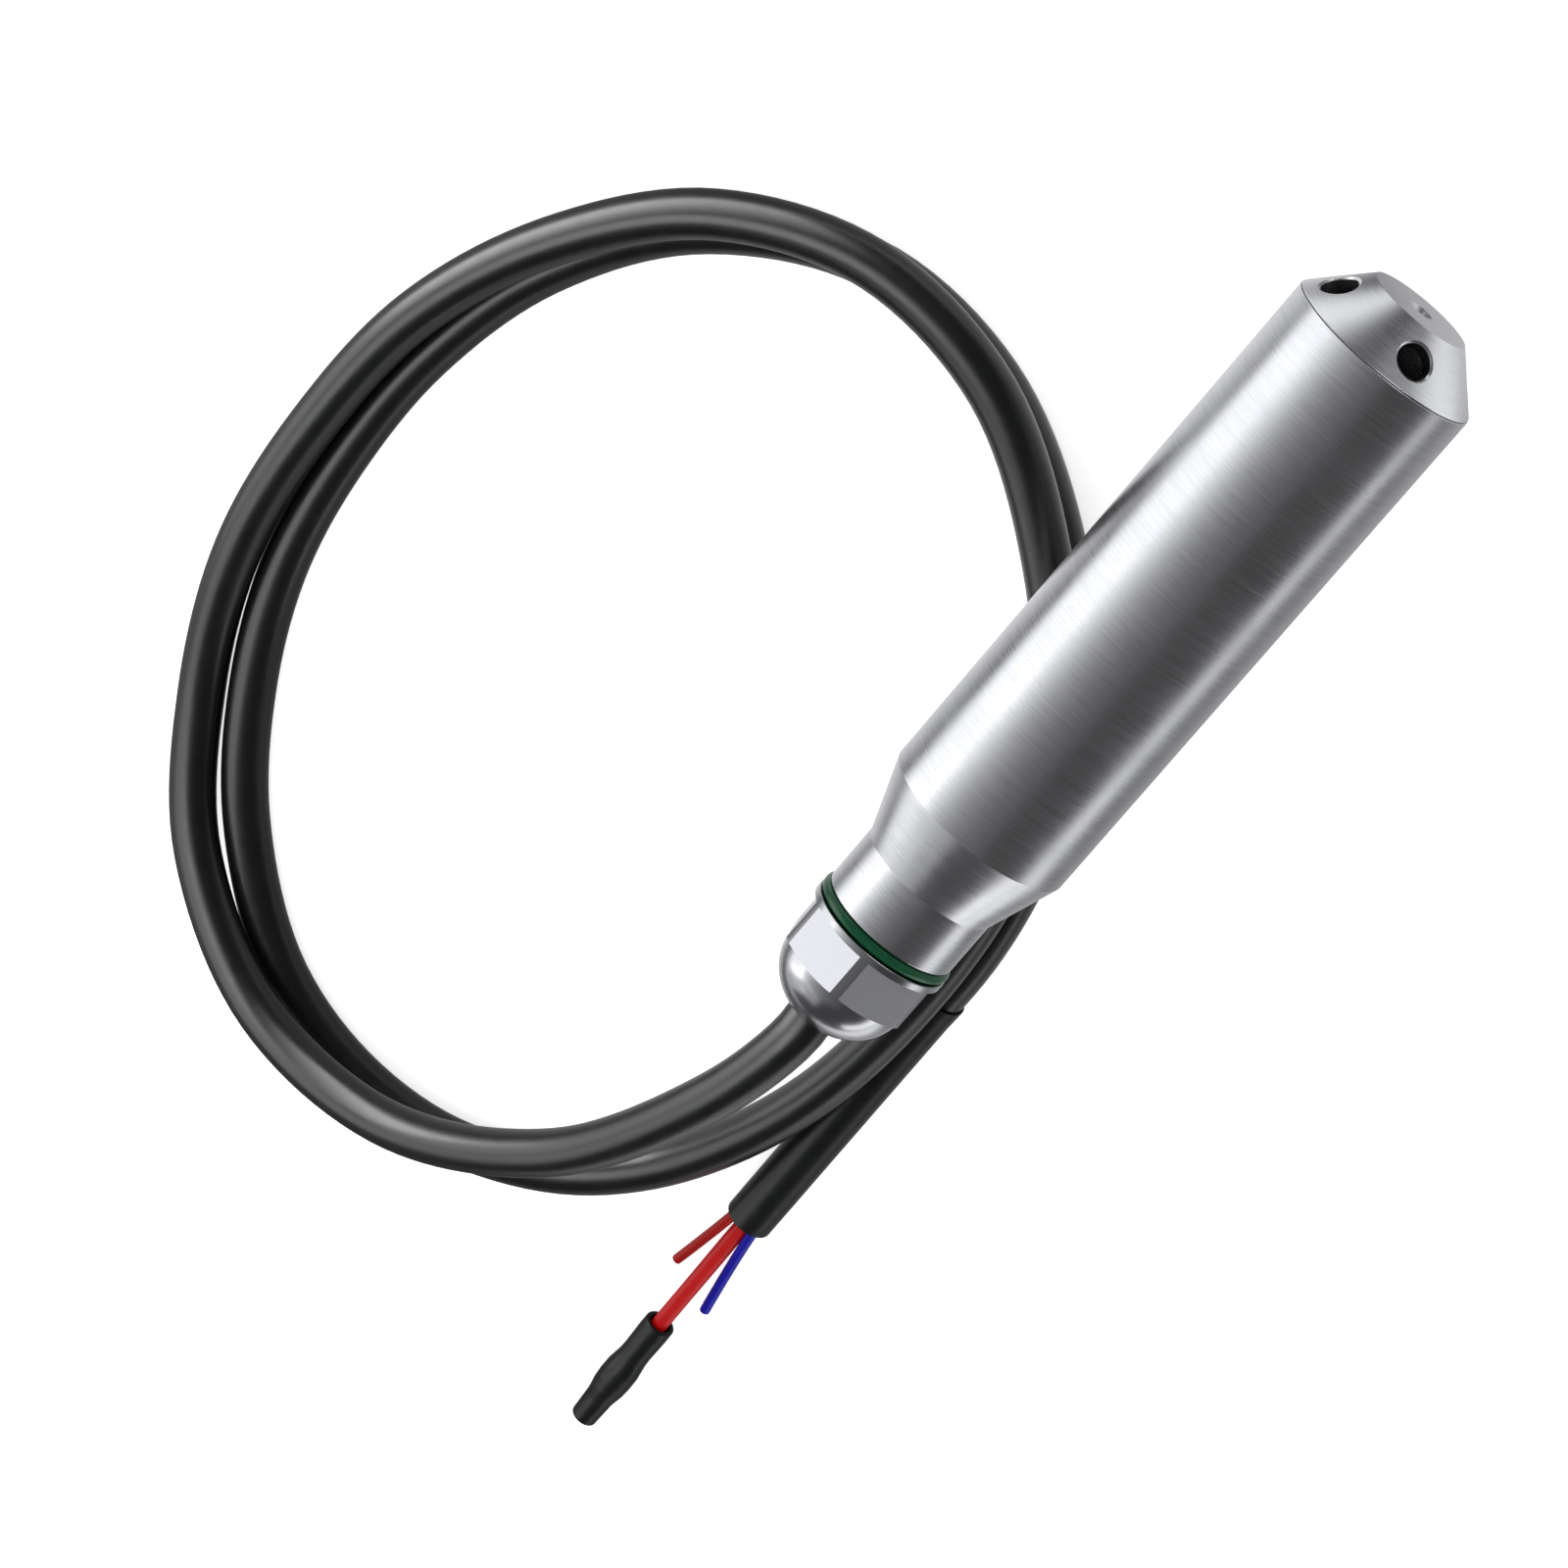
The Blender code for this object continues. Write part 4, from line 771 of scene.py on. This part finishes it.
for number in range(6):
    turn = HEX_TURN + math.tau * number / 6
    outward = UPWARD * math.cos(turn) - LEFT * math.sin(turn)
    sidelong = FORWARD.cross(outward)
    shape = bmesh.new()
    bmesh.ops.create_cube(shape, size=1.0)
    for corner in shape.verts:
        spot = corner.co.copy()
        corner.co = NECK_END + (outward * (HEX_REACH + 1.0 + spot.x * 2.0)
                                + sidelong * spot.y * 16.0
                                + FORWARD * (-6.85 + spot.z * 8.1)) * MM
    for face in shape.faces:
        face.material_index = gland_looks.index(milled_steel)
    mill_mesh = solid_mesh("hex_mill", shape)
    for look in gland_looks:
        mill_mesh.materials.append(look)
    mills.append(link(bpy.data.objects.new("hex_mill", mill_mesh)))
drilled(gland, mills, sharp=21)


# ---- Green O-ring ------------------------------------------------------------------------
# A moulded green rubber ring, squeezed between the neck's end face and the gland's collar.

RING_RADIUS = 9.85
RING_HEIGHT = -0.88
RING_HALF_WIDTH = 0.85
RING_HALF_THICKNESS = 0.78
# Moulded nitrile rubber: deep green, smooth, with a thin highlight along it.
green_rubber = mottled("green_rubber", "#053f24", 0.28, ("#043a20", "#064428"), (0.26, 0.32),
                       grain=0.8, relief=0.005, specular=0.4)
ring_profile = []
for step in range(24):
    turn = -math.tau * step / 24
    ring_profile.append((RING_RADIUS + RING_HALF_WIDTH * math.cos(turn),
                         RING_HEIGHT + RING_HALF_THICKNESS * math.sin(turn)))
ring_mesh = turned_mesh("green_o_ring", ring_profile, NECK_END, FORWARD, SEAM_SIDE, steps=192)
finish_piece("green_o_ring", ring_mesh, [green_rubber], "gland_o_ring")
lights_only("steel_pieces", (tube, nose, gland), steel_lamps)


# ---- Pieces inside the housing -----------------------------------------------------------
# The cable's packing in the gland, the pressure cell behind the nose, and the board between
# them. Their solids are shown as they are, each in the look of its own material slot.

slot_looks = {"cable_jacket": jacket, "red_plastic": red_pvc, "blue_plastic": blue_pvc}
# Turned stainless, left as machined: a soft, even sheen.
slot_looks["stainless"] = mottled(
    "inner_stainless", "#c0c1c5", 0.28, ("#b8b9bd", "#c9cace"), (0.24, 0.34),
    grain=0.5, relief=0.004, metallic=1.0)
# Turned brass: warm yellow, slightly uneven.
slot_looks["brass"] = mottled(
    "turned_brass", "#c49b4c", 0.3, ("#bb9145", "#cfa658"), (0.24, 0.36),
    grain=0.6, relief=0.004, metallic=1.0)
# Gold plate on the cell's pins: rich and glossy.
slot_looks["gold_plating"] = mottled(
    "gold_plate", "#dcb25a", 0.22, ("#d4a951", "#e3bb66"), (0.18, 0.28),
    grain=0.4, relief=0.002, metallic=1.0)
# Tin plate on cans and crimps: pale grey with a satin bloom.
slot_looks["plated_metal"] = mottled(
    "tin_plate", "#bcbdc1", 0.3, ("#b2b3b7", "#c6c7cb"), (0.25, 0.38),
    grain=0.8, relief=0.004, metallic=1.0)
# Moulded nitrile rubber: charcoal and matt.
slot_looks["black_rubber"] = mottled(
    "black_rubber", "#17181a", 0.6, ("#141517", "#1d1e20"), (0.52, 0.68),
    grain=0.8, relief=0.02)
# Solder mask over glass-fibre board: dark green lacquer.
slot_looks["board"] = mottled(
    "board_lacquer", "#1b5c38", 0.35, ("#174f30", "#1f6a41"), (0.3, 0.42),
    grain=1.5, relief=0.01)
# Moulded epoxy: black, with the grain of the mould.
slot_looks["chip_plastic"] = mottled(
    "chip_epoxy", "#1b1b1c", 0.5, ("#171718", "#222223"), (0.45, 0.58),
    grain=0.4, relief=0.01)
# Moulded nylon: off-white and softly matt.
slot_looks["holder_plastic"] = mottled(
    "white_nylon", "#d9d8d2", 0.5, ("#d2d1ca", "#e0dfda"), (0.44, 0.56),
    grain=1.2, relief=0.01)
# Moulded plastic of the trimmers and the terminals: strong blue and green, satin.
slot_looks["trimmer_plastic"] = mottled(
    "trimmer_blue", "#27599e", 0.45, ("#224f8f", "#2c63ad"), (0.4, 0.5),
    grain=0.8, relief=0.01)
slot_looks["terminal_plastic"] = mottled(
    "terminal_green", "#2a8a4e", 0.45, ("#257c46", "#2f9858"), (0.4, 0.5),
    grain=0.8, relief=0.01)
for subpart in frame["record"]["subparts"]:
    solid = nodes[subpart["node"]]
    if not solid.hide_render:
        solid.data.materials.clear()
        solid.data.materials.append(slot_looks[subpart["material_slot"]])
